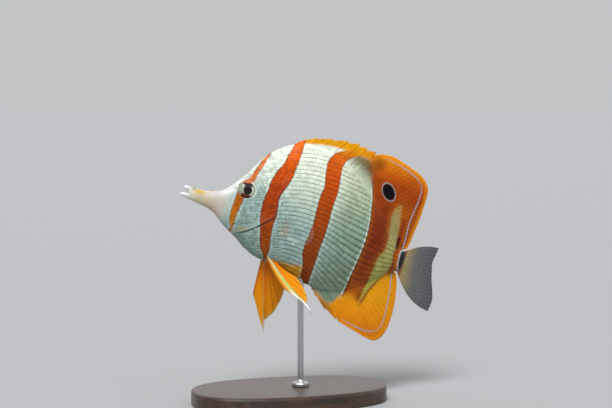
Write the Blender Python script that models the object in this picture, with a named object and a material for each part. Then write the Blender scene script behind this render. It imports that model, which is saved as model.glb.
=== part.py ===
"""Copperband butterflyfish: a life-size still model, nose up and tail swept aside, on a rod and a flat base.

Everything is modelled on the fish's own axes: x runs back from the tip of the snout along the body, y points
to the fish's right, and z points up. The empty fish_pose then tips the fish and lifts it over its stand.
"""

import math
from collections import namedtuple

import bmesh
import bpy
from mathutils import Matrix, Vector

MM = 0.001

# Driving dimensions.
STANDARD_LENGTH = 125 * MM
PITCH = math.radians(18.6)
GAP = 0.3 * MM
BASE_LENGTH = 104 * MM
BASE_WIDTH = 58 * MM
BASE_HEIGHT = 8 * MM
ROD_RADIUS = 1.6 * MM
FIN_TO_BASE = 22 * MM

# Flesh: where it starts behind the jaws, how finely it is lofted, and how far the cuts through it reach
# to each side.
FRONT = 5 * MM
RING_STEPS = 14
STATION_STEP = 3.2 * MM
CUT_REACH = 20 * MM

# The sweep of the tail to the fish's right, behind this station.
SWEEP_START = 104 * MM
SWEEP_PER_METRE = 12.0

# Fins, as half thicknesses. Each thins from root to margin by this power of the way out, and keeps part of
# the ridge on each ray or spine to its tip.
ROOT_HALF = 1.35 * MM
MARGIN_HALF = 0.27 * MM
RAY_RIDGE = 0.16 * MM
SPINE_RIDGE = 0.42 * MM
THINNING = 0.6
RAY_RIDGE_AT_TIP = 0.7
SPINE_RIDGE_AT_TIP = 0.35
ROWS = 6
ACROSS = Vector((0, 1, 0))
NO_BOW = Vector((0, 0, 0))

# Membrane, as shares: how much of a ray's length it fills between rays; and on a spiny fin, how far ahead of
# and behind a spine its valleys lie along the root, how high the front valley meets the membrane's edge, and
# how far the rear valley's top is set back.
WEB_LENGTH = 0.985
VALLEY_AHEAD = 0.3
VALLEY_BEHIND = 0.25
VALLEY_LEVEL = 0.62
VALLEY_SET_BACK = 0.6

# Pelvic fins: half thicknesses at the root on a ray and between rays, what a ray adds at the margin, and how
# far each ray sags.
PELVIC_RAY_HALF = 0.95 * MM
PELVIC_WEB_HALF = 0.75 * MM
PELVIC_RIDGE = 0.12 * MM
PELVIC_BOW = 0.9 * MM

# Pectoral fins: half thickness at the root, ridge of the rays, how deep the roots start in the flank, and the
# way they are thick, as back along the fish and out from it.
PECTORAL_HALF = 0.9 * MM
PECTORAL_RIDGE = 0.15 * MM
PECTORAL_ROOT_DEPTH = 1.2 * MM
PECTORAL_THICK = (-0.45, 0.9)

# Tail fin: half thickness at the root and ridge of the rays.
TAIL_HALF = 1.2 * MM
TAIL_RIDGE = 0.2 * MM

EYE_CENTRE = (30.5 * MM, 10.4 * MM)
EYE_RADIUS = 4.35 * MM
EYE_DEPTH = 2.6 * MM
EYE_BULGE = 1.2 * MM

# Stand: where the rod meets the belly and how deep it goes in, where it stands on the base, the foot of the
# rod as (radius, height) above the base, the rounding of the base's outline, 1 being an ellipse, and how
# far its edges are eased.
ROD_BELLY_X = 74.5 * MM
ROD_SOCKET = 6 * MM
ROD_X = 6 * MM
ROD_FOOT = (
    (4.6 * MM, 0), (4.6 * MM, 1.2 * MM), (4.1 * MM, 1.8 * MM), (2.6 * MM, 2.3 * MM), (ROD_RADIUS, 3.4 * MM),
)
BASE_ROUNDING = 0.8
BASE_EASE = 1.4 * MM
ROD_SIDES = 16
BASE_SIDES = 56


def in_mm(*rows):
    """Rows of millimetres as rows of metres."""
    return [tuple(value * MM for value in row) for row in rows]


def smooth_curve(points):
    """A function through (x, value) points with no corners, made of cubic Hermite pieces."""
    xs = [p[0] for p in points]
    ys = [p[1] for p in points]
    steps = [(ys[i + 1] - ys[i]) / (xs[i + 1] - xs[i]) for i in range(len(xs) - 1)]
    slopes = [steps[0]]
    for i in range(1, len(xs) - 1):
        before, after = xs[i] - xs[i - 1], xs[i + 1] - xs[i]
        slopes.append((steps[i - 1] * after + steps[i] * before) / (before + after))
    slopes.append(steps[-1])

    def at(x):
        x = min(max(x, xs[0]), xs[-1])
        i = max(k for k in range(len(xs) - 1) if xs[k] <= x)
        width = xs[i + 1] - xs[i]
        t = (x - xs[i]) / width
        return (
            (2 * t**3 - 3 * t**2 + 1) * ys[i]
            + (t**3 - 2 * t**2 + t) * width * slopes[i]
            + (3 * t**2 - 2 * t**3) * ys[i + 1]
            + (t**3 - t**2) * width * slopes[i + 1]
        )

    return at


def eased_curve(points):
    """A function through (x, value) points that levels out at each, so that it never overshoots them."""

    def at(x):
        x = min(max(x, points[0][0]), points[-1][0])
        i = max(k for k in range(len(points) - 1) if points[k][0] <= x)
        (x0, y0), (x1, y1) = points[i], points[i + 1]
        t = (x - x0) / (x1 - x0)
        return y0 + (y1 - y0) * t * t * (3 - 2 * t)

    return at


def smooth_path(points):
    """A function from 0..1 to a point on a smooth line through the points, at even speed."""
    points = [Vector(p) for p in points]
    reach = [0.0]
    for a, b in zip(points, points[1:]):
        reach.append(reach[-1] + (b - a).length)
    share = [r / reach[-1] for r in reach]
    parts = [smooth_curve([(s, p[k]) for s, p in zip(share, points)]) for k in range(len(points[0]))]
    return lambda s: Vector([part(s) for part in parts])


# Outlines in millimetres on the fish's own axes: the upper and lower edge of the flesh, without the fins.
BODY_TOP = smooth_curve(
    in_mm(
        (5, 3.4), (11, 3.9), (16, 5.2), (20, 7.2), (25, 12.8), (30, 20.2), (34, 28), (39, 34.1), (43, 37.6),
        (49, 41.4), (55, 43.2), (62, 43.8), (70, 43), (78, 40.8), (86, 36.8), (94, 31), (102, 23.8),
        (110, 15.5), (117, 9), (121, 6.6), (125, 5.5),
    )
)
BODY_BOTTOM = smooth_curve(
    in_mm(
        (5, -3.2), (11, -4), (15.4, -4.7), (18.6, -5.9), (22.7, -8.7), (28.8, -12.3), (33.1, -14.4),
        (40.7, -18.9), (46, -20.8), (52, -21.8), (61.4, -23), (70, -25.2), (79, -26.8), (86, -27),
        (94, -25.5), (102, -21.5), (110, -15.5), (117, -9.5), (121, -7), (125, -5.7),
    )
)
BODY_HALF_WIDTH = smooth_curve(
    in_mm(
        (5, 1.9), (10, 2.3), (15, 2.9), (20, 3.7), (25, 4.8), (30, 6), (35, 7.1), (40, 7.9), (50, 8.9),
        (60, 9.1), (70, 8.7), (80, 7.8), (90, 6.6), (100, 5.3), (110, 4.1), (118, 3.2), (125, 2.6),
    )
)

# The flat along the upper and lower edge, which the fins stand on, and how wedge-like the sides are above and
# below the widest line: 0.5 is a round section and 1 a blade.
TOP_FLAT = eased_curve(in_mm((5, 0.3), (45, 0.4), (54, 1.4), (112, 1.4), (125, 1.0)))
BOTTOM_FLAT = eased_curve(in_mm((5, 0.3), (72, 0.5), (80, 1.4), (112, 1.4), (125, 1.0)))
TOP_WEDGE = eased_curve([(0.005, 0.5), (0.028, 0.55), (0.060, 0.9), (0.108, 0.95), (0.125, 0.7)])
BOTTOM_WEDGE = eased_curve([(0.005, 0.5), (0.050, 0.5), (0.084, 0.9), (0.108, 0.95), (0.125, 0.7)])
WIDEST_SHARE = 0.47


def sweep(x):
    """How far the fish's mid line lies to its right at x, where the tail swings aside."""
    return SWEEP_PER_METRE / 2 * max(x - SWEEP_START, 0) ** 2


def widest_z(x):
    return BODY_BOTTOM(x) + WIDEST_SHARE * (BODY_TOP(x) - BODY_BOTTOM(x))


def flank_y(x, z):
    """Half the body's width at a place on its side."""
    middle = widest_z(x)
    upper = z > middle
    edge = BODY_TOP(x) if upper else BODY_BOTTOM(x)
    flat = TOP_FLAT(x) if upper else BOTTOM_FLAT(x)
    wedge = TOP_WEDGE(x) if upper else BOTTOM_WEDGE(x)
    share = min(abs((z - middle) / (edge - middle)), 1)
    return flat + (BODY_HALF_WIDTH(x) - flat) * (1 - share**2) ** wedge


def body_ring(x, swell):
    """Points round the body at x, down its right side and up its left, pushed out by swell."""
    right = []
    for step in range(RING_STEPS + 1):
        angle = math.pi * step / RING_STEPS
        edge = BODY_TOP(x) if angle < math.pi / 2 else BODY_BOTTOM(x)
        z = widest_z(x) + abs(math.cos(angle)) * (edge - widest_z(x))
        y = flank_y(x, z) + swell
        right.append(Vector((x, y, z + swell * math.cos(angle))))
    return right + [Vector((p.x, -p.y, p.z)) for p in reversed(right)]


def mesh_object(name, bm, smooth_degrees=40):
    bmesh.ops.recalc_face_normals(bm, faces=bm.faces)
    mesh = bpy.data.meshes.new(name)
    bm.to_mesh(mesh)
    bm.free()
    mesh.shade_smooth()
    mesh.set_sharp_from_angle(angle=math.radians(smooth_degrees))
    found = bpy.data.objects.new(name, mesh)
    bpy.context.scene.collection.objects.link(found)
    return found


def loft(bm, rings):
    """Closed skin over rings of equal counts of points, with a flat cap at each end."""
    made = [[bm.verts.new(p) for p in ring] for ring in rings]
    count = len(made[0])
    for near, far in zip(made, made[1:]):
        for i in range(count):
            j = (i + 1) % count
            bm.faces.new((near[i], near[j], far[j], far[i]))
    bm.faces.new(made[0])
    bm.faces.new(list(reversed(made[-1])))


def body_solid(name, swell=0.0):
    """The whole flesh from the front of the snout to the root of the tail fin."""
    steps = round((STANDARD_LENGTH - FRONT) / STATION_STEP)
    stations = [FRONT + (STANDARD_LENGTH - FRONT) * i / steps for i in range(steps + 1)]
    if swell:
        stations = [FRONT - swell, *stations[1:-1], STANDARD_LENGTH + swell]
    bm = bmesh.new()
    loft(bm, [body_ring(x, swell) for x in stations])
    return mesh_object(name, bm)


def prism(name, outline, low_y, high_y):
    """An outline of (x, z) points carried straight across the fish from low_y to high_y."""
    bm = bmesh.new()
    loft(bm, [[Vector((x, y, z)) for x, z in outline] for y in (low_y, high_y)])
    return mesh_object(name, bm)


def saw_cut(name, line):
    """A cutter one gap thick that follows a line of (x, z) points right through the body."""
    half = GAP / 2
    points = [Vector(p) for p in line]
    near, far = [], []
    for i, point in enumerate(points):
        along = points[min(i + 1, len(points) - 1)] - points[max(i - 1, 0)]
        across = Vector((-along.y, along.x)).normalized() * half
        near.append(point + across)
        far.append(point - across)
    return prism(name, [tuple(p) for p in near + list(reversed(far))], -CUT_REACH, CUT_REACH)


def grown(outline, by):
    """An outline of (x, z) points with every side moved outwards by the same distance."""
    points = [Vector(p) for p in outline]
    after = points[1:] + points[:1]
    turning = sum(a.x * b.y - b.x * a.y for a, b in zip(points, after))
    made = []
    for i, point in enumerate(points):
        sides = [(point - points[i - 1]).normalized(), (after[i] - point).normalized()]
        outward = [Vector((s.y, -s.x)) * math.copysign(1, turning) for s in sides]
        middle = (outward[0] + outward[1]).normalized()
        made.append(tuple(point + middle * by / middle.dot(outward[0])))
    return made


def boolean(target, operation, *tools):
    """Applies one Boolean of the tools to the target and removes them."""
    for tool in tools:
        modifier = target.modifiers.new(operation.lower(), "BOOLEAN")
        modifier.operation = operation
        modifier.object = tool
        modifier.solver = "EXACT"
    bpy.context.view_layer.update()
    evaluated = target.evaluated_get(bpy.context.evaluated_depsgraph_get())
    mesh = bpy.data.meshes.new_from_object(evaluated)
    target.modifiers.clear()
    target.data = mesh
    for tool in tools:
        bpy.data.objects.remove(tool)


def closed_bodies(bm):
    """The separate surfaces of a mesh, as lists of faces."""
    left = set(bm.faces)
    found = []
    while left:
        start = left.pop()
        reached, queue = [start], [start]
        while queue:
            for edge in queue.pop().edges:
                for face in edge.link_faces:
                    if face in left:
                        left.remove(face)
                        reached.append(face)
                        queue.append(face)
        found.append(reached)
    return found


def split_along_x(solid, names):
    """Parts a solid into its separate pieces, named from the front of the fish to the back."""
    bm = bmesh.new()
    bm.from_mesh(solid.data)
    bm.faces.index_update()
    bpy.data.objects.remove(solid)
    pieces = sorted(closed_bodies(bm), key=len, reverse=True)[: len(names)]
    pieces.sort(key=lambda faces: sum(f.calc_center_median().x for f in faces) / len(faces))
    made = []
    for name, faces in zip(names, pieces):
        kept = {face.index for face in faces}
        part = bm.copy()
        part.faces.index_update()
        spare = [face for face in part.faces if face.index not in kept]
        bmesh.ops.delete(part, geom=spare, context="FACES")
        made.append(mesh_object(name, part))
    bm.free()
    return made


def keep_largest(solid):
    """Drops loose scraps that a cut leaves beside a node."""
    return split_along_x(solid, [solid.name])[0]


def ellipsoid(name, centre, radii, segments=20, rings=10):
    """A ball stretched along each axis, with its poles on the line across the fish."""
    bm = bmesh.new()
    turn = Matrix.Rotation(math.pi / 2, 4, "X")
    size = Matrix.Diagonal((*radii, 1))
    bmesh.ops.create_uvsphere(
        bm, u_segments=segments, v_segments=rings, radius=1, matrix=Matrix.Translation(centre) @ size @ turn
    )
    return mesh_object(name, bm)


def eye_place(side):
    x, z = EYE_CENTRE
    return Vector((x, side * (flank_y(x, z) + EYE_BULGE - EYE_DEPTH), z))


def make_flesh():
    """The body, modelled whole and parted at the snout, the gill opening and the root of the tail."""
    whole = body_solid("whole")
    snout_line = in_mm((24.5, 18), (21.8, 9), (20.8, 0), (21.4, -7), (23, -14))
    gill_line = in_mm(
        (44.6, 44), (47, 36), (48.8, 28), (48.8, 22), (48.1, 16.4), (47.4, 11.6), (47.8, 7), (48.5, 2.8),
        (47, 0.6), (42.9, -3.4), (37.2, -9), (33.5, -11.9), (29, -15.4),
    )
    tail_line = in_mm((113.6, 20), (113, 0), (113.6, -20))
    cuts = [saw_cut(f"cut_{i}", line) for i, line in enumerate((snout_line, gill_line, tail_line))]
    boolean(whole, "DIFFERENCE", *cuts)
    _, head, trunk, _ = split_along_x(whole, ["snout", "head", "trunk", "tail_base"])
    make_gill_covers(head)
    sockets = []
    for side in (-1, 1):
        radii = (EYE_RADIUS + GAP, EYE_DEPTH + GAP, EYE_RADIUS + GAP)
        sockets.append(ellipsoid("socket", eye_place(side), radii))
        for x, z in in_mm((25.2, 9.9), (26.4, 12.3)):
            sockets.append(nostril(x, z, side))
    boolean(head, "DIFFERENCE", *sockets)
    boolean(trunk, "DIFFERENCE", rod_socket())


def nostril(x, z, side):
    """A small round pit ahead of the eye."""
    depth, radius, sides = 0.9 * MM, 0.5 * MM, 8
    reach = flank_y(x, z)
    angles = [math.tau * k / sides for k in range(sides)]
    rim = [(x + radius * math.cos(a), z + radius * math.sin(a)) for a in angles]
    ends = sorted((side * (reach - depth), side * (reach + depth)))
    return prism("nostril", rim, *ends)


def make_gill_covers(head):
    """A plate on each cheek, from the bend behind the eye to the gill opening."""
    line = in_mm(
        (54, 23.2), (43.6, 23.2), (40.6, 20), (39.3, 14.6), (39.1, 9.2), (39.4, 2.8), (39, -1.6),
        (37.2, -4.6), (34.4, -6.6), (31.2, -7.9), (31, -10), (33, -15), (45, -9), (54, 0),
    )
    inner, outer = 3.4 * MM, 14 * MM
    for side, name in ((-1, "gill_cover_left"), (1, "gill_cover_right")):
        plate = bpy.data.objects.new(name, head.data.copy())
        bpy.context.scene.collection.objects.link(plate)
        boolean(plate, "INTERSECT", prism("outline", line, *sorted((side * inner, side * outer))))
        keep_largest(plate)
        recess = prism("recess", grown(line, GAP), *sorted((side * (inner - GAP), side * outer)))
        boolean(head, "DIFFERENCE", recess)


def make_eyes():
    for side, name in ((-1, "eye_left"), (1, "eye_right")):
        ellipsoid(name, eye_place(side), (EYE_RADIUS, EYE_DEPTH, EYE_RADIUS))


def make_jaw(name, stations):
    """A lip-tipped finger of flesh: stations are (x, middle z, half height, half width) in millimetres."""
    sides = 14
    bm = bmesh.new()
    rings = []
    for x, z, high, wide in in_mm(*stations):
        angles = [math.tau * k / sides for k in range(sides)]
        rings.append([Vector((x, wide * math.cos(a), z + high * math.sin(a))) for a in angles])
    loft(bm, rings)
    return mesh_object(name, bm)


def make_jaws():
    make_jaw(
        "jaw_upper",
        [
            (4.7, 1.88, 1.52, 1.75), (3.6, 1.9, 1.5, 1.6), (2.3, 2.08, 1.36, 1.5), (1.3, 2.2, 1.2, 1.45),
            (0.5, 2.25, 1.0, 1.25), (-0.1, 2.23, 0.6, 0.8),
        ],
    )
    make_jaw(
        "jaw_lower",
        [
            (4.7, -1.46, 1.5, 1.75), (3.6, -1.45, 1.45, 1.6), (2.4, -1.55, 1.24, 1.45),
            (1.3, -1.5, 1.14, 1.4), (0.4, -1.52, 1.04, 1.25), (-0.4, -1.58, 0.78, 0.95),
            (-1.0, -1.6, 0.4, 0.55),
        ],
    )


Column = namedtuple("Column", "root tip root_half tip_half across bow")


def column(root, tip, root_half=ROOT_HALF, tip_half=MARGIN_HALF, across=ACROSS, bow=NO_BOW):
    """One ray, spine or valley of a fin: its ends, half thicknesses, the way it is thick, and how it bows."""
    return Column(Vector(root), Vector(tip), root_half, tip_half, Vector(across), Vector(bow))


def fin_solid(name, columns, rows=ROWS):
    """A closed sheet through its columns, split into triangles alike on both faces."""
    bm = bmesh.new()
    faces = []
    for side in (1, -1):
        grid = []
        for col in columns:
            line = []
            for row in range(rows + 1):
                t = row / rows
                half = col.root_half + (col.tip_half - col.root_half) * t**THINNING
                middle = col.root.lerp(col.tip, t) + col.bow * 4 * t * (1 - t)
                line.append(bm.verts.new(middle + col.across * side * half))
            grid.append(line)
        faces.append(grid)
    for grid in faces:
        for left, right in zip(grid, grid[1:]):
            for row in range(rows):
                a, b, c, d = left[row], right[row], right[row + 1], left[row + 1]
                bm.faces.new((a, b, c))
                bm.faces.new((a, c, d))
    near, far = (
        [line[0] for line in grid] + grid[-1][1:] + [line[-1] for line in grid[-2::-1]] + grid[0][-2:0:-1]
        for grid in faces
    )
    for i in range(len(near)):
        j = (i + 1) % len(near)
        bm.faces.new((near[i], near[j], far[j], far[i]))
    return mesh_object(name, bm, smooth_degrees=60)


def on_edge(x, upper):
    """A point one gap off the flesh's upper or lower edge at x."""
    edge = BODY_TOP if upper else BODY_BOTTOM
    step = 0.5 * MM
    along = Vector((2 * step, 0, edge(x + step) - edge(x - step))).normalized()
    off = Vector((-along.z, 0, along.x)) * (1 if upper else -1)
    return Vector((x, 0, edge(x))) + off * GAP


def spine_columns(roots, tips, upper, drop):
    """Columns of a spiny fin: a ridge on each spine, and behind it the membrane cut away by drop."""
    columns = []
    valley_half = ROOT_HALF - SPINE_RIDGE * 0.5
    spine_tip_half = MARGIN_HALF + SPINE_RIDGE * SPINE_RIDGE_AT_TIP
    for i, (x, tip) in enumerate(zip(roots, tips)):
        root, tip = on_edge(x, upper), Vector((tip[0], 0, tip[1]))
        last = i == len(roots) - 1
        pitch = roots[i] - roots[i - 1] if last else roots[i + 1] - roots[i]
        if columns:
            ahead = on_edge(x - VALLEY_AHEAD * pitch, upper)
            columns.append(column(ahead, columns[-1].tip.lerp(tip, VALLEY_LEVEL), valley_half))
        columns.append(column(root, tip, tip_half=spine_tip_half))
        if not last:
            behind = on_edge(x + VALLEY_BEHIND * pitch, upper)
            top = root.lerp(tip, 1 - drop) + (behind - root) * VALLEY_SET_BACK
            columns.append(column(behind, top, valley_half))
    return columns


def ray_columns(count, root_at, tip_at, root_half=ROOT_HALF, ridge=RAY_RIDGE, across=ACROSS, bow_at=None):
    """Columns of a soft fin: a ridge on each ray and a valley of membrane between."""
    columns = []
    ray_tip_half = MARGIN_HALF + ridge * RAY_RIDGE_AT_TIP
    for i in range(2 * count - 1):
        s = i / (2 * count - 2)
        root, tip = root_at(s), tip_at(s)
        bow = bow_at(s) if bow_at else NO_BOW
        if i % 2 == 0:
            columns.append(column(root, tip, root_half, ray_tip_half, across, bow))
        else:
            web_tip = root.lerp(tip, WEB_LENGTH)
            columns.append(column(root, web_tip, root_half - ridge, MARGIN_HALF, across, bow))
    return columns


def margin_path(*points):
    return smooth_path([(x, 0, z) for x, z in in_mm(*points)])


def edge_path(first, last, upper):
    """Roots along the flesh's upper or lower edge: a function from 0..1 to a point between two stations."""
    return lambda s: on_edge(first + (last - first) * s, upper)


def make_dorsal_fin():
    """Spines with notched skin between them in front, and a tall soft fin behind."""
    roots = [x * MM for x in (48.6, 51.2, 55.5, 61.5, 68.3, 74.6, 79.8, 84.4, 88.6)]
    tips = in_mm(
        (50.4, 43.2), (53.4, 45.4), (59.2, 48.1), (67, 50.2), (75.7, 51.9), (82.2, 52.3), (86.9, 51.6),
        (92.1, 51.2), (97, 51.2),
    )
    fin_solid("dorsal_fin_spiny", spine_columns(roots, tips, True, drop=0.16), rows=5)
    margin = margin_path(
        (97.5, 51.3), (102, 51.8), (107.7, 50.7), (113.8, 49.2), (120, 47.5), (124.4, 45.2), (127.3, 42.2),
        (128.4, 37.9), (128.5, 31.9), (128.4, 23.8), (127.6, 16.5), (127, 10.3), (125.9, 7.2), (124.4, 6.3),
    )
    fin_solid("dorsal_fin_soft", ray_columns(28, edge_path(89.1 * MM, 121.5 * MM, True), margin))


def make_anal_fin():
    """Three spines that run into a broad soft fin."""
    roots = [x * MM for x in (80.6, 83.6, 87.2)]
    tips = in_mm((84.9, -31.4), (92.5, -36.9), (100, -40.2))
    margin = margin_path(
        (102.2, -40.7), (107.7, -42), (113.6, -43.4), (119.6, -44.7), (124.6, -44.8), (127.8, -42.2),
        (129.7, -37.5), (130.3, -31.3), (129.7, -23.3), (128, -15.7), (125.9, -9.3), (124.6, -6.9),
    )
    rays = ray_columns(20, edge_path(89 * MM, 121.5 * MM, False), margin)
    fin_solid("anal_fin", spine_columns(roots, tips, False, drop=0.12) + rays)


def make_tail_fin():
    """A fan with a longer lower corner, whose outer rays bow away from the middle."""
    front = STANDARD_LENGTH + GAP
    high, low = Vector((front, 0, 4.9 * MM)), Vector((front, 0, -5.1 * MM))
    high_bow, low_bow = Vector((-0.6, 0, 1.9)) * MM, Vector((-1.2, 0, -3.9)) * MM
    margin = margin_path(
        (146.8, 13.2), (146.2, 9), (145.6, 4.4), (147, 0.4), (149, -4.8), (151.8, -9.8), (153.8, -14.6),
        (153.4, -21.4),
    )

    def root(s):
        return high.lerp(low, s)

    def bow(s):
        return high_bow.lerp(low_bow, s)

    fin_solid("tail_fin", ray_columns(17, root, margin, TAIL_HALF, TAIL_RIDGE, bow_at=bow))


def make_pectoral_fins():
    """Fans on the flanks, swung a little out from the body."""
    (top_x, top_z), (low_x, low_z) = in_mm((51.4, 2.4), (54.4, -5.6))
    rim = in_mm(
        (61.8, 12.6, 7.6), (65, 14, 6.6), (67.8, 15.6, 2.4), (69.3, 15.2, -2.6), (68, 14, -6.2),
        (64.4, 12.2, -8.2),
    )
    for side, name in ((-1, "pectoral_fin_left"), (1, "pectoral_fin_right")):
        margin = smooth_path([(x, side * y, z) for x, y, z in rim])

        def root(s):
            x, z = top_x + (low_x - top_x) * s, top_z + (low_z - top_z) * s
            return Vector((x, side * (flank_y(x, z) - PECTORAL_ROOT_DEPTH), z))

        thick = Vector((PECTORAL_THICK[0], side * PECTORAL_THICK[1], 0)).normalized()
        fin = fin_solid(name, ray_columns(14, root, margin, PECTORAL_HALF, PECTORAL_RIDGE, thick))
        boolean(fin, "DIFFERENCE", body_solid("clearance", GAP))
        keep_largest(fin)


# Tips of each pelvic fin's spine, first long ray and four more rays, with the edge of the skin between
# neighbours listed after each, in millimetres. The left fin trails and the right one hangs.
PELVIC_TIPS = {
    "pelvic_fin_left": (
        (63.5, -12, -31.7), (74, -14, -35.2), (81.3, -14.4, -39.3), (78, -12.6, -36.4), (77.8, -11.6, -35.8),
        (77.7, -10.4, -33.8), (77.6, -9.2, -32.5), (76, -8, -30.2), (74, -7, -27.9), (71.6, -6.2, -26),
        (69.4, -5.2, -24.4),
    ),
    "pelvic_fin_right": (
        (54.2, 9, -40), (62.2, 9.8, -52), (66.5, 10.5, -57.5), (64.9, 10, -51.6), (65.4, 9.6, -50.8),
        (66.9, 9.1, -48.4), (68, 8.6, -46), (68.5, 8, -43.4), (68.9, 7.4, -40.6), (69.3, 6.8, -37),
        (69, 6.2, -32.5),
    ),
}
PELVIC_ROOTS = in_mm((51.2, 3.2, -18.6), (55.6, 2.2, -19.6))


def make_pelvic_fins():
    """A spine, a long pale ray and four shorter ones on each side, under the breast."""
    for name, tips in PELVIC_TIPS.items():
        side = math.copysign(1, tips[0][1])
        front, rear = (Vector((x, side * y, z)) for x, y, z in PELVIC_ROOTS)
        tips = [Vector(tip) * MM for tip in tips]
        middle = tips[2] - front
        across = middle.cross(tips[-1] - front).normalized()
        columns = []
        for i, tip in enumerate(tips):
            root = front.lerp(rear, i / (len(tips) - 1))
            on_ray = i % 2 == 0
            half = PELVIC_RAY_HALF if on_ray else PELVIC_WEB_HALF
            edge = MARGIN_HALF + (PELVIC_RIDGE if on_ray else 0)
            columns.append(column(root, tip, half, edge, across, Vector((0, 0, -PELVIC_BOW))))
        fin = fin_solid(name, columns, rows=8)
        boolean(fin, "DIFFERENCE", body_solid("clearance", GAP))
        keep_largest(fin)


def rod_top():
    """The middle of the rod where it meets the belly, on the fish's axes."""
    return Vector((ROD_BELLY_X, 0, BODY_BOTTOM(ROD_BELLY_X)))


def rod_socket():
    """A round hole up into the belly for the rod, along the upright of the stand."""
    bm = bmesh.new()
    up = Vector((-math.sin(PITCH), 0, math.cos(PITCH)))
    turn = up.to_track_quat("Z", "Y").to_matrix().to_4x4()
    radius, length = ROD_RADIUS + GAP, 2 * (ROD_SOCKET + GAP)
    bmesh.ops.create_cone(
        bm, cap_ends=True, segments=ROD_SIDES, radius1=radius, radius2=radius, depth=length,
        matrix=Matrix.Translation(rod_top()) @ turn,
    )
    return mesh_object("socket", bm)


def turned(name, profile, segments):
    """A solid of revolution about the upright: profile is (radius, z) from the bottom to the top."""
    bm = bmesh.new()
    rings = []
    for radius, z in profile:
        angles = [math.tau * k / segments for k in range(segments)]
        rings.append([Vector((radius * math.cos(a), radius * math.sin(a), z)) for a in angles])
    loft(bm, rings)
    return mesh_object(name, bm)


def rounded_oval(length, width, z):
    """A ring of points between an ellipse and a rectangle, at a height."""
    ring = []
    for k in range(BASE_SIDES):
        angle = math.tau * k / BASE_SIDES
        along, across = math.cos(angle), math.sin(angle)
        x = math.copysign(abs(along) ** BASE_ROUNDING, along) * length / 2
        y = math.copysign(abs(across) ** BASE_ROUNDING, across) * width / 2
        ring.append(Vector((x, y, z)))
    return ring


def make_stand(rod_height):
    """A flat oval base with eased edges, and a rod with a small foot."""
    levels = (
        (0.5 * BASE_EASE, 0),
        (0, 0.5 * BASE_EASE),
        (0, BASE_HEIGHT - BASE_EASE),
        (0.3 * BASE_EASE, BASE_HEIGHT - 0.3 * BASE_EASE),
        (BASE_EASE, BASE_HEIGHT),
    )
    bm = bmesh.new()
    loft(bm, [rounded_oval(BASE_LENGTH - 2 * inset, BASE_WIDTH - 2 * inset, z) for inset, z in levels])
    mesh_object("stand_base", bm)
    foot = BASE_HEIGHT + GAP
    profile = [(radius, foot + z) for radius, z in ROD_FOOT]
    rod = turned("stand_rod", [*profile, (ROD_RADIUS, rod_height)], ROD_SIDES)
    rod.location.x = ROD_X


def paint(name, colour, roughness, metallic=0.0):
    material = bpy.data.materials.new(name)
    material.use_nodes = True
    shader = material.node_tree.nodes["Principled BSDF"]
    shader.inputs["Base Color"].default_value = (*colour, 1)
    shader.inputs["Roughness"].default_value = roughness
    shader.inputs["Metallic"].default_value = metallic
    return material


def swing_tail(solid):
    """Bends a solid to the fish's right, behind the start of the sweep."""
    for vertex in solid.data.vertices:
        vertex.co.y += sweep(vertex.co.x)


def pose_fish(fish):
    """Tips the fish nose up about the rod's place and lifts its lowest fin clear of the base."""
    rise, run = math.sin(PITCH), math.cos(PITCH)
    lowest = min(v.co.z * run - v.co.x * rise for v in bpy.data.objects["anal_fin"].data.vertices)
    belly = rod_top()
    pose = bpy.data.objects.new("fish_pose", None)
    bpy.context.scene.collection.objects.link(pose)
    pose.rotation_euler = (0, PITCH, 0)
    pose.location = (ROD_X - belly.x * run - belly.z * rise, 0, BASE_HEIGHT + FIN_TO_BASE - lowest)
    for solid in fish:
        solid.parent = pose
    return pose.location.z - belly.x * rise + belly.z * run


def give_colours():
    colours = {
        "scales": paint("scaled_skin", (0.78, 0.80, 0.76), 0.4),
        "orange": paint("orange_fin", (0.86, 0.38, 0.03), 0.45),
        "clear": paint("clear_fin", (0.72, 0.72, 0.74), 0.3),
        "eye": paint("wet_eye", (0.03, 0.03, 0.04), 0.08),
        "lip": paint("pale_lip", (0.84, 0.78, 0.70), 0.4),
        "base": paint("dark_wood", (0.06, 0.05, 0.045), 0.5),
        "rod": paint("brushed_rod", (0.60, 0.60, 0.60), 0.35, 1.0),
    }
    painted = {
        "scales": ("trunk", "head", "tail_base", "gill_cover_left", "gill_cover_right"),
        "lip": ("snout", "jaw_upper", "jaw_lower"),
        "eye": ("eye_left", "eye_right"),
        "orange": ("dorsal_fin_spiny", "dorsal_fin_soft", "anal_fin", "pelvic_fin_left", "pelvic_fin_right"),
        "clear": ("tail_fin", "pectoral_fin_left", "pectoral_fin_right"),
        "base": ("stand_base",),
        "rod": ("stand_rod",),
    }
    for kind, names in painted.items():
        for name in names:
            solid = bpy.data.objects[name]
            solid.data.materials.clear()
            solid.data.materials.append(colours[kind])


def main():
    for old in list(bpy.data.objects):
        bpy.data.objects.remove(old)
    make_flesh()
    make_jaws()
    make_eyes()
    make_dorsal_fin()
    make_anal_fin()
    make_tail_fin()
    make_pectoral_fins()
    make_pelvic_fins()
    fish = list(bpy.context.scene.objects)
    for solid in fish:
        swing_tail(solid)
    belly_height = pose_fish(fish)
    make_stand(belly_height + ROD_SOCKET)
    give_colours()


main()
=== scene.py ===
"""Dresses a life-size copperband butterflyfish in skin, scales, fins and eyes, on its rod and wooden base."""

import math

import bmesh
import bpy
import numpy as np
from bpy.props import FloatProperty, FloatVectorProperty, IntProperty, PointerProperty
from bpy.types import Operator, Panel, PropertyGroup
from mathutils import Matrix, Vector


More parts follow.
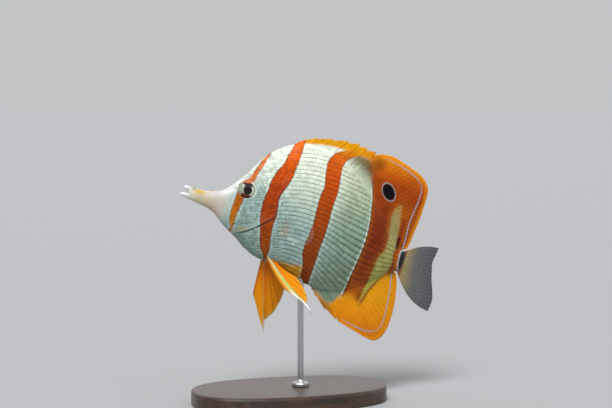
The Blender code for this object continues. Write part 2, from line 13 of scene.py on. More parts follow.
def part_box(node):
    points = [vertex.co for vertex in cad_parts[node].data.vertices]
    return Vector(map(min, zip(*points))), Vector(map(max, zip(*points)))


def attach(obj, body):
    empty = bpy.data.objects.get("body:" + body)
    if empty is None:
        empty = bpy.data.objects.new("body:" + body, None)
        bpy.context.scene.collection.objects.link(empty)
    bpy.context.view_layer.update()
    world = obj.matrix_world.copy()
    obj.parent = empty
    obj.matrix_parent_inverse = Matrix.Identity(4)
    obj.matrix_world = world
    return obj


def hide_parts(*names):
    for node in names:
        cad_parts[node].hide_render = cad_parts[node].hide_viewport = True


bl_info = {
    "name": "Copperband butterflyfish",
    "version": (1, 0, 0),
    "blender": (4, 5, 0),
    "location": "3D View > Sidebar > Fish",
    "description": "Skin, scale coat, fins, eyes, stand finishes and studio for a butterflyfish model",
    "category": "Add Mesh",
}

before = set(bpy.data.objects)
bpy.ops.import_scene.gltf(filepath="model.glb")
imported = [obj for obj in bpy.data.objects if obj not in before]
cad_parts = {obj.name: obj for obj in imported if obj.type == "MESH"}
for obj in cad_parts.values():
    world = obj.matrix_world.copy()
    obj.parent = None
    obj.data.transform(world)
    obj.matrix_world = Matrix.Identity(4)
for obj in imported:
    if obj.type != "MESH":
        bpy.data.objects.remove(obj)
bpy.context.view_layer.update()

MM = 0.001
PITCH = math.radians(18.6)

# The fish is modelled in millimetres on its own axes: x runs back from the tip of the snout, y to the fish's
# right and z up. The tail swings to its right behind SWEEP_START.
SWEEP_START = 104.0
SWEEP = 0.006
STANDARD_LENGTH = 125.0


def smooth_curve(*points, level=False):
    """A corner-free curve through (x, value) points; with level it is flat at each and never overshoots."""
    xs, ys = np.array(points, float).T
    gaps = np.diff(xs)
    steps = np.diff(ys) / gaps
    inner = (steps[:-1] * gaps[1:] + steps[1:] * gaps[:-1]) / (gaps[:-1] + gaps[1:])
    slopes = np.concatenate(([steps[0]], inner, [steps[-1]])) * (0.0 if level else 1.0)

    def at(x):
        x = np.clip(x, xs[0], xs[-1])
        i = np.clip(np.searchsorted(xs, x, side="right") - 1, 0, len(gaps) - 1)
        t = (x - xs[i]) / gaps[i]
        return (
            (2 * t**3 - 3 * t**2 + 1) * ys[i]
            + (t**3 - 2 * t**2 + t) * gaps[i] * slopes[i]
            + (3 * t**2 - 2 * t**3) * ys[i + 1]
            + (t**3 - t**2) * gaps[i] * slopes[i + 1]
        )

    return at


def running(steps):
    """Sums of the steps up to each place, from 0."""
    return np.concatenate(([0.0], np.cumsum(steps)))


def unit(vectors):
    """These vectors at length 1."""
    return vectors / np.linalg.norm(vectors, axis=-1, keepdims=True)


def smooth_path(points):
    """A function from shares 0..1 to points on a smooth line through these, at even speed."""
    points = np.array(points, float)
    reach = running(np.linalg.norm(np.diff(points, axis=0), axis=1))
    parts = [smooth_curve(*zip(reach / reach[-1], values)) for values in points.T]
    return lambda s: np.stack([part(s) for part in parts], -1)


def ease(low, high, value):
    """0 below low, 1 above high and a smooth rise between."""
    t = np.clip((value - low) / (high - low), 0, 1)
    return t * t * (3 - 2 * t)


def bump(value, width):
    """A soft hill of height 1 about value 0."""
    return np.exp(-((value / width) ** 2))


BODY_TOP = smooth_curve(
    (5, 3.4), (11, 3.9), (16, 5.2), (20, 7.2), (25, 12.8), (30, 20.2), (34, 28), (39, 34.1), (43, 37.6),
    (49, 41.4), (55, 43.2), (62, 43.8), (70, 43), (78, 40.8), (86, 36.8), (94, 31), (102, 23.8),
    (110, 15.5), (117, 9), (121, 6.6), (125, 5.5),
)
BODY_BOTTOM = smooth_curve(
    (5, -3.2), (11, -4), (15.4, -4.7), (18.6, -5.9), (22.7, -8.7), (28.8, -12.3), (33.1, -14.4),
    (40.7, -18.9), (46, -20.8), (52, -21.8), (61.4, -23), (70, -25.2), (79, -26.8), (86, -27),
    (94, -25.5), (102, -21.5), (110, -15.5), (117, -9.5), (121, -7), (125, -5.7),
)
BODY_HALF_WIDTH = smooth_curve(
    (5, 1.9), (10, 2.3), (15, 2.9), (20, 3.7), (25, 4.8), (30, 6), (35, 7.1), (40, 7.9), (50, 8.9),
    (60, 9.1), (70, 8.7), (80, 7.8), (90, 6.6), (100, 5.3), (110, 4.1), (118, 3.2), (125, 2.6),
)
TOP_FLAT = smooth_curve((5, 0.3), (45, 0.4), (54, 1.4), (112, 1.4), (125, 1.0), level=True)
BOTTOM_FLAT = smooth_curve((5, 0.3), (72, 0.5), (80, 1.4), (112, 1.4), (125, 1.0), level=True)
TOP_WEDGE = smooth_curve((5, 0.5), (28, 0.55), (60, 0.9), (108, 0.95), (125, 0.7), level=True)
BOTTOM_WEDGE = smooth_curve((5, 0.5), (50, 0.5), (84, 0.9), (108, 0.95), (125, 0.7), level=True)
WIDEST_SHARE = 0.47

EYE_CENTRE = (30.5, 10.4)
EYE_RADIUS = 4.35
EYE_DEPTH = 2.6
EYE_BULGE = 1.2
NOSTRILS = ((25.2, 9.9), (26.4, 12.3))

# The free edge of the gill cover, from the nape to the throat, and the bend of the cheek in front of it.
GILL_SLIT = (
    (48.8, 25.5), (48.7, 24.2), (48.5, 21.5), (48.0, 16.4), (47.2, 11.6), (47.8, 7.1), (48.5, 2.6),
    (48.3, 1.0), (45.6, -1.5), (42.3, -4.9), (39.4, -7.8), (36.3, -10.2), (33.5, -11.9), (30.4, -14.0),
)
CHEEK_BEND = (
    (39.6, 20.2), (39.2, 14.6), (39.1, 9.2), (39.5, 2.8), (39.4, -2.6), (35.6, -6.1), (30.1, -8.0),
    (27.1, -8.8),
)
PECTORAL_ROOT = ((51.4, 2.4), (54.4, -5.6))


def widest_z(x):
    """The height of the body's widest line."""
    return BODY_BOTTOM(x) + WIDEST_SHARE * (BODY_TOP(x) - BODY_BOTTOM(x))


def flank_y(x, z):
    """Half the body's width at places on its side."""
    x, z = np.asarray(x, float), np.asarray(z, float)
    middle = widest_z(x)
    upper = z > middle
    edge = np.where(upper, BODY_TOP(x), BODY_BOTTOM(x))
    flat = np.where(upper, TOP_FLAT(x), BOTTOM_FLAT(x))
    wedge = np.where(upper, TOP_WEDGE(x), BOTTOM_WEDGE(x))
    share = np.clip(np.abs((z - middle) / (edge - middle)), 0, 1)
    return flat + (BODY_HALF_WIDTH(x) - flat) * (1 - share**2) ** wedge


def place():
    """The matrix from the fish's axes to the frame: its pitch is known, and its eye says where it is."""
    turn = Matrix.Rotation(PITCH, 4, "Y")
    low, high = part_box("eye_left")
    x, z = EYE_CENTRE
    eye = Vector((x, -(float(flank_y(x, z)) + EYE_BULGE - EYE_DEPTH), z)) * MM
    return Matrix.Translation((low + high) / 2 - turn @ eye) @ turn


PLACE = place()


def to_frame(points):
    """Points in the fish's millimetres, tail swung aside, as metres in the frame."""
    points = np.array(points, float).reshape(-1, 3)
    points[:, 1] += SWEEP * np.maximum(points[:, 0] - SWEEP_START, 0) ** 2
    turn = np.array(PLACE.to_3x3())
    return points * MM @ turn.T + np.array(PLACE.translation)


def to_line(x, z, line):
    """Distance from places to a line of (x, z) points, above 0 on its left, and the share along it."""
    line = np.array(line, float)
    reach = running(np.linalg.norm(np.diff(line, axis=0), axis=1))
    best = np.full(np.shape(x), 1e9)
    signed = np.zeros(np.shape(x))
    along = np.zeros(np.shape(x))
    for i, ((ax, az), (bx, bz)) in enumerate(zip(line, line[1:])):
        dx, dz = bx - ax, bz - az
        length = math.hypot(dx, dz)
        t = np.clip(((x - ax) * dx + (z - az) * dz) / length**2, 0, 1)
        away = np.hypot(x - ax - t * dx, z - az - t * dz)
        side = np.sign(dx * (z - az) - dz * (x - ax))
        nearer = away < best
        best = np.where(nearer, away, best)
        signed = np.where(nearer, away * side, signed)
        along = np.where(nearer, (reach[i] + t * length) / reach[-1], along)
    return signed, along


def add_object(name, data):
    """An object of this data, in the scene."""
    made = bpy.data.objects.new(name, data)
    bpy.context.scene.collection.objects.link(made)
    return made


def link(name, vertices, faces, values=None):
    """A mesh object in the frame from the fish's millimetres, with named values on its points."""
    mesh = bpy.data.meshes.new(name)
    mesh.from_pydata([tuple(v) for v in to_frame(vertices)], [], faces)
    mesh.update()
    for key, numbers in (values or {}).items():
        mesh.attributes.new(key, "FLOAT", "POINT").data.foreach_set(
            "value", np.asarray(numbers, np.float32).ravel(),
        )
    mesh.shade_smooth()
    return add_object(name, mesh)


def face_outwards(piece):
    """Turns all faces of a closed piece outwards."""
    work = bmesh.new()
    work.from_mesh(piece.data)
    bmesh.ops.recalc_face_normals(work, faces=work.faces)
    work.to_mesh(piece.data)
    work.free()


def finish_piece(piece, slot, material, *nodes):
    """Gives a piece its material, lets it ride on the fish and hides the CAD nodes it stands for; slot is not
    used.
    """
    if material:
        piece.data.materials.clear()
        piece.data.materials.append(material)
    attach(piece, "root")
    if nodes:
        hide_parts(*nodes)


def tone(code):
    """An sRGB hex colour as linear red, green, blue and alpha."""
    shares = [int(code[i:i + 2], 16) / 255 for i in (0, 2, 4)]
    return (*[s / 12.92 if s <= 0.04045 else ((s + 0.055) / 1.055) ** 2.4 for s in shares], 1.0)


# The setting that a word after the dot in a node's kind chooses.
MODES = {"Math": "operation", "VectorMath": "operation", "Mix": "data_type", "MapRange": "interpolation_type"}


def put(tree, kind, *values, out=None, stops=None, curve=None, **settings):
    """Adds a node with its settings, joins or fills its live inputs in order, and returns one output.

    A dictionary among the values fills inputs by name, and a hex code fills a colour. Without out it returns
    the first live output.
    """
    kind, _, mode = kind.partition(".")
    node = tree.nodes.new(f"ShaderNode{kind}" if hasattr(bpy.types, f"ShaderNode{kind}") else kind)
    if mode:
        settings[MODES[kind]] = mode
    for key, value in settings.items():
        setattr(node, key, value)
    in_order = [value for value in values if not isinstance(value, dict)]
    wanted = list(zip([socket for socket in node.inputs if socket.enabled], in_order))
    for named in values:
        if isinstance(named, dict):
            wanted.extend((node.inputs[key], value) for key, value in named.items())
    for socket, value in wanted:
        if isinstance(value, bpy.types.NodeSocket):
            tree.links.new(value, socket)
        else:
            socket.default_value = tone(value) if socket.type == "RGBA" and isinstance(value, str) else value
    if stops:
        ramp = node.color_ramp
        while len(ramp.elements) < len(stops):
            ramp.elements.new(1.0)
        for element, (spot, colour) in zip(ramp.elements, stops):
            element.position = spot
            element.color = tone(colour) if isinstance(colour, str) else colour
    if curve:
        line = node.mapping.curves[0]
        while len(line.points) < len(curve):
            line.points.new(0.5, 0.5)
        for point, spot in zip(line.points, curve):
            point.location = spot
        node.mapping.extend = "HORIZONTAL"
        node.mapping.update()
    return node.outputs[out] if out else next((socket for socket in node.outputs if socket.enabled), None)


# Colour. Each marking is laid over what is below it, by how many millimetres inside its edges a place lies.
CURVE_LOW, CURVE_HIGH, CURVE_LONG = -60.0, 60.0, 160.0
EYE_BAND = (
    ((28.8, -9.6), (27, -7.2), (26.2, -4.1), (25.9, -0.9), (26, 2.3), (26.1, 5.5), (26.2, 7.4), (27, 13.2),
     (30.4, 17), (31.4, 19.9), (32.4, 22.7), (33.2, 24.8), (34.4, 27.9), (35.6, 30), (37.4, 33)),
    ((29.9, -10.2), (29.6, -6.4), (29.4, -3), (29.7, 0.2), (30.1, 3.6), (30.3, 6.2), (31.6, 13), (32.8, 15.8),
     (33.5, 19), (34, 20.9), (35.2, 24.5), (36, 26.8), (36.6, 29), (37.6, 31.6), (38, 33)),
)
SHOULDER_BAND = (
    (
        (51.2, -22.3), (50.8, -20.3), (49, -18), (46.7, -15.3), (44.6, -10.9), (43.3, -6.9), (41.5, -2),
        (40.3, 3.1), (40, 8.9), (40.6, 14), (40.9, 18.4), (42.4, 24.3), (44.5, 28.7), (46.6, 35.9),
        (48.5, 41.3), (50, 46),
    ),
    (
        (52, -22.3), (51.8, -20), (51.7, -16.5), (50.7, -11.7), (49.6, -7.6), (48.9, -2.8), (49, 1.6),
        (48.6, 5.8), (47.7, 10.4), (48.4, 14.9), (49.9, 19.2), (51.3, 23.9), (51.7, 28.4), (52.5, 34),
        (53, 39.6), (53.5, 43.5), (54, 46),
    ),
)
FLANK_BAND = (
    (
        (73.1, -28), (73.1, -25.8), (72.5, -21.3), (71.5, -17.6), (69.1, -12.1), (68.3, -6.1), (68.7, 0.1),
        (68.7, 6.7), (68.2, 13.1), (68.1, 19), (68.9, 24.6), (68.4, 28.3), (67.7, 33.5), (67.8, 38.3),
        (70.3, 43), (75, 46.2), (81, 48.5),
    ),
    (
        (78.2, -28), (78.2, -26.4), (77.7, -20.2), (77.3, -14), (76.9, -6.2), (77.1, 1), (76.9, 8.1),
        (76.7, 16.2), (77.2, 24.5), (76.7, 30.9), (76.5, 36.8), (78.2, 41.7), (82, 45), (90, 48.5),
    ),
)
REAR_BAND = (
    ((98.3, -27.6), (98.6, -21.9), (98.6, -15.5), (99.3, -7.3), (99.9, 0.7), (100, 7.9), (99.5, 14.8),
     (98.4, 22.1), (97.2, 28.9), (94.1, 36.3), (92.6, 40.8), (90, 45), (86, 50)),
    ((106.5, -29), (107.8, -26.4), (108.3, -20.7), (109.2, -16.5), (109.3, -8.9), (109.9, -1.4), (112.2, 3.1),
     (112.6, 8.7), (111.7, 16.3), (110.9, 22.6), (113.8, 29.3), (118, 34)),
)
STREAK_REAR = (
    (108, -30.5), (109, -28.3), (111.4, -20.9), (114.2, -14.4), (117.9, -9.1), (119.4, -2.1), (118.7, 1.6),
    (119.2, 6.7), (118.3, 15.1), (116.9, 23.3), (116, 28.3), (115, 31),
)
TAIL_BAND = (
    ((125.1, -5.2), (124.7, -4.4), (123.6, -2.6), (123.1, 0), (122.9, 2.7), (123.3, 4.7), (124.3, 6)),
    ((125.3, -5.2), (125.9, -3.8), (126.5, -0.7), (126.7, 2.7), (126.1, 5), (125, 6)),
)
GOLD_ABOVE = (
    (48, 41.2), (54, 42.9), (63, 45.2), (70, 46.2), (76, 46.3), (84, 46.2), (90, 46), (95, 44.8), (100, 42),
)
GOLD_BELOW = (
    (80, -28.2), (83.6, -29), (87.1, -30.8), (90.8, -32.8), (93.7, -32.4), (95.5, -29.8), (98, -26.5),
    (104, -25.5), (107, -27.5), (109, -28.5), (112, -21), (116, -12.5), (118.5, -8.5),
)
YELLOW_BELLY = ((52, -21.5), (55.5, -20.2), (60.7, -19.6), (65.4, -19.4), (70.9, -18.2), (74, -18.0))
SHADE_LINE = ((0, 4), (20, 9), (35, 12.5), (46, 10), (56, 2), (74, 0), (84, 4), (98, 9), (110, 6), (125, 4))
NAPE = ((20, 7), (30, 12.5), (40, 13.5), (50, 12), (54, 12))
FOREHEAD = ((5, 3), (16, 1), (24, 6), (28, 12), (34, 20), (40, 30))
# Small soft blotches: middle, long axis, half lengths, colour and strength. Two are on the bill, and then
# come the gold spot on its ridge, the warm glow at the root of the pectoral fin, the olive edge of the cheek
# and the pale glow under the pectoral fin.
BLOTCHES = (
    ((8.2, 2.4), (0.98, 0.12), (5.4, 1.7), "D2AC1E", 0.85), ((4.9, 2.9), (1, 0), (1.6, 1.0), "6A4A2A", 0.6),
    ((14.6, 5.2), (0.9, 0.35), (2.2, 1.2), "E0A418", 0.85), ((55, -3), (0.3, 0.95), (6, 3.8), "B8A48C", 0.5),
    ((34, -9.4), (0.86, 0.5), (6, 1.6), "94803A", 0.6),
    ((60.5, -6.5), (0.95, -0.3), (6, 2.2), "DCE4DC", 0.45),
)
EYESPOT = (105.6, 33.1)
EYESPOT_AXIS = (0.712, -0.702)
EYESPOT_HALF = (4.75, 3.15)
HEIGHT_LOW, HEIGHT_HIGH = -45.0, 55.0


def by_height(*stops):
    """Ramp stops from (z in millimetres, colour) pairs; a colour is a hex code or already linear."""
    return [((z - HEIGHT_LOW) / (HEIGHT_HIGH - HEIGHT_LOW), paint) for z, paint in stops]


def edge_at(tree, height, line):
    """The x of a marking's edge, from its (x, z) points, at each height, a share of the curve's reach."""
    points = sorted(((z - CURVE_LOW) / (CURVE_HIGH - CURVE_LOW), x / CURVE_LONG) for x, z in line)
    share = put(tree, "FloatCurve", {"Value": height}, curve=points)
    return put(tree, "Math.MULTIPLY", share, CURVE_LONG)


def above_line(tree, x, z, line):
    """How far above a line of (x, z) points each place is."""
    points = [(px / CURVE_LONG, (pz - CURVE_LOW) / (CURVE_HIGH - CURVE_LOW)) for px, pz in line]
    along = put(tree, "Math.DIVIDE", x, CURVE_LONG)
    share = put(tree, "FloatCurve", {"Value": along}, curve=points)
    level = put(tree, "Math.MULTIPLY_ADD", share, CURVE_HIGH - CURVE_LOW, CURVE_LOW)
    return put(tree, "Math.SUBTRACT", z, level)


def inside_band(tree, x, height, edges, ragged):
    """How far inside a band each place is, its edges a little ragged, as colour scale by scale is."""
    front, rear = (edge_at(tree, height, line) for line in edges)
    past_front = put(tree, "Math.SUBTRACT", x, front)
    before_rear = put(tree, "Math.SUBTRACT", rear, x)
    inside = put(tree, "Math.MINIMUM", past_front, before_rear)
    return put(tree, "Math.ADD", inside, ragged)


def paint_over(tree, below, paint, inside, start, full, strength=1.0):
    """Lays paint over what is below it, from nothing where inside is start to all of it where it is full."""
    share = put(tree, "MapRange.SMOOTHSTEP", inside, start, full, 0.0, strength)
    return put(tree, "Mix.RGBA", share, below, paint)


def stripe(tree, inside, at, half):
    """Above 0 within half a width of a place across a marking's edge."""
    away = put(tree, "Math.SUBTRACT", inside, at)
    away = put(tree, "Math.ABSOLUTE", away)
    return put(tree, "Math.SUBTRACT", half, away)


def oval(tree, place, centre, axis, half):
    """Above 0 inside an oval on the flank, 1 at its middle; axis is its long way, half its half lengths."""
    spot = put(tree, "VectorMath.SUBTRACT", place, (centre[0], 0, centre[1]))
    shares = []
    for (ax, az), size in zip((axis, (-axis[1], axis[0])), half):
        along = put(tree, "VectorMath.DOT_PRODUCT", spot, (ax, 0, az))
        shares.append(put(tree, "Math.DIVIDE", along, size))
    flat = put(tree, "CombineXYZ", shares[0], shares[1])
    reach = put(tree, "VectorMath.LENGTH", flat)
    return put(tree, "Math.SUBTRACT", 1.0, reach)


def fish_place(tree):
    """The fish's own axes in millimetres at each shaded point, however the frame is turned."""
    turn = PLACE.to_3x3().transposed()
    shift = turn @ PLACE.translation / MM
    coordinates = put(tree, "TexCoord", out="Object")
    return put(
        tree, "Mapping",
        {"Vector": coordinates, "Location": -shift, "Rotation": turn.to_euler(), "Scale": (1 / MM,) * 3},
    )


def build_markings(paints):
    """The fish's whole pattern as one node group: its colour, and how strongly pigmented each place is."""
    tree = bpy.data.node_groups.new("butterflyfish_markings", "ShaderNodeTree")
    for name, kind in (
        ("Colour", "NodeSocketColor"), ("Pigment", "NodeSocketFloat"), ("Place", "NodeSocketVector"),
    ):
        tree.interface.new_socket(name, in_out="OUTPUT", socket_type=kind)
    place = fish_place(tree)
    axes = put(tree, "SeparateXYZ", place).node.outputs
    x, z = axes["X"], axes["Z"]
    height = put(tree, "MapRange", z, CURVE_LOW, CURVE_HIGH)
    level = put(tree, "MapRange", z, HEIGHT_LOW, HEIGHT_HIGH)
    # Patches about 1.6 mm across, which is one scale, make the edges ragged.
    patch = put(tree, "TexNoise", place, 0.62, 1.0)
    ragged = put(tree, "Math.MULTIPLY_ADD", patch, 0.7, -0.35)

    # The pale flank: pearl white on the back, through cool grey green, to blue grey under the belly. The
    # darkening downwards is partly painted shade of light from above, and it comes sooner on the cheek and
    # behind the third band.
    shaded = above_line(tree, x, z, SHADE_LINE)
    shaded = put(tree, "MapRange", shaded, HEIGHT_LOW, HEIGHT_HIGH)
    pale = put(tree, "ValToRGB", shaded, stops=by_height(
        (-27, paints["belly"]), (-14, paints["low"]), (0, paints["mid"]), (14, paints["upper"]),
        (28, paints["back"]), (44, paints["crest"]),
    ))
    # The snout: ivory lips, straw along the bill and pinkish grey where it meets the cheek.
    bill = put(tree, "MapRange", x, -1.0, 26.0)
    snout = put(tree, "ValToRGB", bill, stops=[
        (0.0, "E2E6EC"), (0.14, "DAD8D2"), (0.30, "CDC0A2"), (0.55, "C2B196"),
        (0.85, "BDB9AC"), (1.0, "C4CCC4"),
    ])
    before_cheek = put(tree, "Math.SUBTRACT", 27.0, x)
    colour = paint_over(tree, pale, snout, before_cheek, 0.0, 6.0)
    forehead = put(tree, "Math.SUBTRACT", 31.0, x)
    forehead = put(tree, "Math.MINIMUM", forehead, above_line(tree, x, z, FOREHEAD))
    colour = paint_over(tree, colour, "D3D0D2", forehead, -2.0, 4.0, 0.75)
    nape = put(tree, "Math.SUBTRACT", 52.0, x)
    nape = put(tree, "Math.MINIMUM", nape, above_line(tree, x, z, NAPE))
    colour = paint_over(tree, colour, paints["crest"], nape, -3.0, 4.0, 0.45)
    for centre, axis, half, paint, strength in BLOTCHES:
        soft = put(tree, "Math.MULTIPLY_ADD", patch, 0.9, -0.45)
        soft = put(tree, "Math.ADD", soft, oval(tree, place, centre, axis, half))
        colour = paint_over(tree, colour, paint, soft, -0.1, 0.9, strength)
    ridge = above_line(
        tree, x, z, ((8, 3.6), (12, 4.0), (16, 5.3), (20, 7.4), (24, 11.4), (27, 16), (30, 25)),
    )
    ridge = put(tree, "Math.MINIMUM", ridge, stripe(tree, x, 18.3, 3.2))
    colour = paint_over(tree, colour, "C8560E", ridge, -0.2, 0.4, 0.85)

    belly = above_line(tree, x, z, YELLOW_BELLY)
    belly = put(tree, "Math.SUBTRACT", 0.0, belly)
    belly = put(tree, "Math.MINIMUM", belly, stripe(tree, x, 63.5, 11.0))
    colour = paint_over(tree, colour, paints["yellow"], belly, -1.4, 1.2, 0.95)

    # The pale flank turns brownish grey at the front of the soft dorsal, between the last two bands.
    dusk = above_line(tree, x, z, ((70, 47), (80, 43), (88, 39.5), (95, 35), (100, 32)))
    dusk = put(tree, "Math.MINIMUM", dusk, stripe(tree, x, 90.0, 11.0))
    colour = paint_over(tree, colour, "7C6C40", dusk, -4.0, 4.5, 0.9)

    gold = above_line(tree, x, z, GOLD_ABOVE)
    before_rays = put(tree, "Math.SUBTRACT", 101.0, x)
    gold = put(tree, "Math.MINIMUM", gold, before_rays)
    colour = paint_over(tree, colour, paints["gold"], gold, -0.6, 1.2)
    pigment = put(tree, "MapRange", gold, -0.6, 1.2)

    # Painted shade: the flank between the last two bands is made darker and more green.
    rear_shade_share = put(tree, "MapRange.SMOOTHSTEP", x, 74.0, 86.0)
    rear_shade_tint = put(tree, "Mix.RGBA", rear_shade_share, (1, 1, 1, 1), (0.72, 0.74, 0.62, 1))
    below_gold = put(tree, "Math.SUBTRACT", 0.0, gold)
    rear_shaded = put(tree, "VectorMath.MULTIPLY", colour, rear_shade_tint)
    colour = paint_over(tree, colour, rear_shaded, below_gold, 0.0, 2.0)

    # Behind the rear band: an orange fan above, a straw streak down the root of the tail, and rust behind it.
    front, rear = (edge_at(tree, height, line) for line in REAR_BAND)
    streak_rear = edge_at(tree, height, STREAK_REAR)
    past_front = put(tree, "Math.SUBTRACT", x, front)
    past_front = put(tree, "Math.ADD", past_front, ragged)
    fan = put(tree, "ValToRGB", level, stops=by_height(
        (-8, "8E4A12"), (4, "904408"), (14, "9C4E08"), (26, "A65204"), (34, paints["fan"]), (42, "BC5602"),
        (50, "E28C08"),
    ))
    fade_start = put(tree, "MapRange", z, 30.0, 42.0, -0.1, -3.5)
    fade_full = put(tree, "MapRange", z, 30.0, 42.0, 0.5, 5.0)
    colour = paint_over(tree, colour, fan, past_front, fade_start, fade_full)
    rust = put(tree, "ValToRGB", level, stops=by_height(
        (-30, "DC8A08"), (-24, "B45E06"), (-14, "8C3C06"), (0, "7C2C04"), (14, "782602"), (24, "8E3802"),
        (32, "A24602"), (40, paints["fan"]),
    ))
    brown = oval(tree, place, (95.5, 44.8), (0.8, 0.6), (7.5, 5.5))
    colour = paint_over(tree, colour, "7E4206", brown, 0.0, 0.9, 0.75)
    in_rear = inside_band(tree, x, height, REAR_BAND, ragged)
    under_fan = put(tree, "Math.SUBTRACT", 40.0, z)
    rust_share = put(tree, "Math.MINIMUM", in_rear, under_fan)
    colour = paint_over(tree, colour, rust, rust_share, -0.1, 3.5)
    past_rear = put(tree, "Math.SUBTRACT", x, rear)
    before_streak = put(tree, "Math.SUBTRACT", streak_rear, x)
    streak = put(tree, "Math.MINIMUM", past_rear, before_streak)
    streak = put(tree, "Math.ADD", streak, ragged)
    streak = put(tree, "Math.MINIMUM", streak, stripe(tree, z, 0.0, 29.0))
    straw = put(tree, "ValToRGB", level, stops=by_height(
        (-30, "CE9E22"), (-20, "B2AC48"), (-8, "A2A85E"), (6, "A09E62"), (20, "A29762"), (30, "A87E36"),
    ))
    colour = paint_over(tree, colour, straw, streak, -0.6, 1.5, 0.92)
    for paint, at, half, low_share in (("8A2C04", 15.5, 6.5, 0.8), ("2E0E04", 8.9, 3.2, 0.95)):
        blotch = stripe(tree, z, at, half)
        blotch = put(tree, "Math.MINIMUM", blotch, stripe(tree, x, 119.7, 1.0))
        colour = paint_over(tree, colour, paint, blotch, -0.6, 0.9, low_share)

    deep = above_line(tree, x, z, GOLD_BELOW)
    deep = put(tree, "Math.SUBTRACT", 0.0, deep)
    behind_belly = put(tree, "Math.SUBTRACT", x, 79.0)
    deep = put(tree, "Math.MINIMUM", deep, behind_belly)
    amber = put(tree, "ValToRGB", level, stops=by_height(
        (-44, "D07A0A"), (-34, "E08C06"), (-22, paints["gold"]), (-10, "E29A12"),
    ))
    colour = paint_over(tree, colour, amber, deep, -2.4, 2.4)
    shadow = oval(tree, place, (91.5, -35.0), (0.86, -0.5), (8.0, 3.2))
    colour = paint_over(tree, colour, "7E5A0C", shadow, 0.0, 0.9, 0.65)
    low_gold = put(tree, "MapRange", deep, -2.4, 2.4)
    pigment = put(tree, "Math.MAXIMUM", pigment, low_gold)

    # A pearl line, dark behind, along the front of the rear band.
    down = put(tree, "Math.MULTIPLY", stripe(tree, z, 4.0, 32.0), 0.05)
    line = put(tree, "Math.MINIMUM", stripe(tree, past_front, -0.55, 0.38), down)
    colour = paint_over(tree, colour, "DDE4DE", line, -0.15, 0.3, 0.75)
    line = put(tree, "Math.MINIMUM", stripe(tree, past_front, 0.25, 0.4), down)
    colour = paint_over(tree, colour, "5A2A0C", line, -0.1, 0.35, 0.7)
    behind_front = put(tree, "MapRange", past_front, -0.1, 0.5)
    pigment = put(tree, "Math.MAXIMUM", pigment, behind_front)

    # The three copper bands, each with a pearl fringe and a fine dark rim, brightest near the back. Their
    # darkening downwards is partly painted shade of light from above.
    bands = (
        (
            EYE_BAND,
            by_height((-9, "B87A12"), (0, "BA6404"), (10, "A84E04"), (20, "D86C0C"), (33, "D8782A")), 0.6,
        ),
        (
            SHOULDER_BAND,
            by_height(
                (-22, "9E5008"), (-12, "9E4604"), (0, "9E3E04"), (12, "A63A02"), (26, "CC4E02"),
                (44, "F06A02"),
            ),
            0.9,
        ),
        (
            FLANK_BAND,
            by_height(
                (-28, "662A02"), (-16, "8E3E04"), (0, "9C4404"), (14, "A84402"), (30, "C64A02"),
                (42, "D4600A"), (48, "DE9210"),
            ),
            0.9,
        ),
    )
    for edges, stops, dark in bands:
        inside = inside_band(tree, x, height, edges, ragged)
        fill = put(tree, "ValToRGB", level, stops=stops)
        if edges is FLANK_BAND:
            fade = put(tree, "Math.SUBTRACT", 48.0, z)
            inside = put(tree, "Math.MINIMUM", inside, fade)
        below = put(tree, "Math.SUBTRACT", 44.0, z)
        fringe = put(tree, "Math.MINIMUM", stripe(tree, inside, -0.7, 0.7), below)
        colour = paint_over(tree, colour, "EFF3EC", fringe, -0.1, 0.6, 0.2)
        colour = paint_over(tree, colour, fill, inside, -0.25, 0.45)
        fringe = put(tree, "Math.MINIMUM", stripe(tree, inside, 0.1, 0.42), below)
        colour = paint_over(tree, colour, "3E2006", fringe, -0.15, 0.45, dark * 0.6)
        filled = put(tree, "MapRange", inside, -0.15, 0.35)
        pigment = put(tree, "Math.MAXIMUM", pigment, filled)

    # The eyespot on the soft dorsal: black, ringed in pale blue.
    within = oval(tree, place, EYESPOT, EYESPOT_AXIS, EYESPOT_HALF)
    within = put(tree, "Math.MULTIPLY", within, 3.6)
    colour = paint_over(tree, colour, "8C9AA0", stripe(tree, within, -0.3, 0.4), -0.15, 0.35, 0.8)
    colour = paint_over(tree, colour, "060607", within, -0.1, 0.3)

    # Round the root of the tail: black, with pale blue lines and an orange strip in front.
    black = inside_band(tree, x, height, TAIL_BAND, ragged=0.0)
    black = put(tree, "Math.MINIMUM", black, stripe(tree, z, 0.4, 5.9))
    ahead = put(tree, "Math.SUBTRACT", 125.0, x)
    front_only = put(tree, "Math.MINIMUM", ahead, stripe(tree, z, 0.3, 5.6))
    strip = put(tree, "Math.MINIMUM", stripe(tree, black, -1.7, 0.9), front_only)
    colour = paint_over(tree, colour, "B85A08", strip, -0.5, 0.5, 0.9)
    line = put(tree, "Math.MINIMUM", stripe(tree, black, -0.5, 0.4), front_only)
    colour = paint_over(tree, colour, "A9C4D2", line, -0.3, 0.3, 0.85)
    colour = paint_over(tree, colour, "040506", black, -0.2, 0.3)

    # The lid behind the eye is cream, with a thin dark line round it.
    lid = oval(tree, place, EYE_CENTRE, (1, 0), (1, 1))
    behind_eye = put(tree, "Math.SUBTRACT", x, EYE_CENTRE[0] + 1.0)
    over_cheek = put(tree, "Math.SUBTRACT", z, EYE_CENTRE[1] - 2.6)
    behind_eye = put(tree, "Math.MINIMUM", behind_eye, over_cheek)
    for at, half, paint, strength in ((-3.6, 0.45, "DDE2D2", 0.8), (-4.3, 0.22, "5E6A5C", 0.3)):
        ring = put(tree, "Math.MINIMUM", stripe(tree, lid, at, half), behind_eye)
        colour = paint_over(tree, colour, paint, ring, -0.2, 0.3, strength)

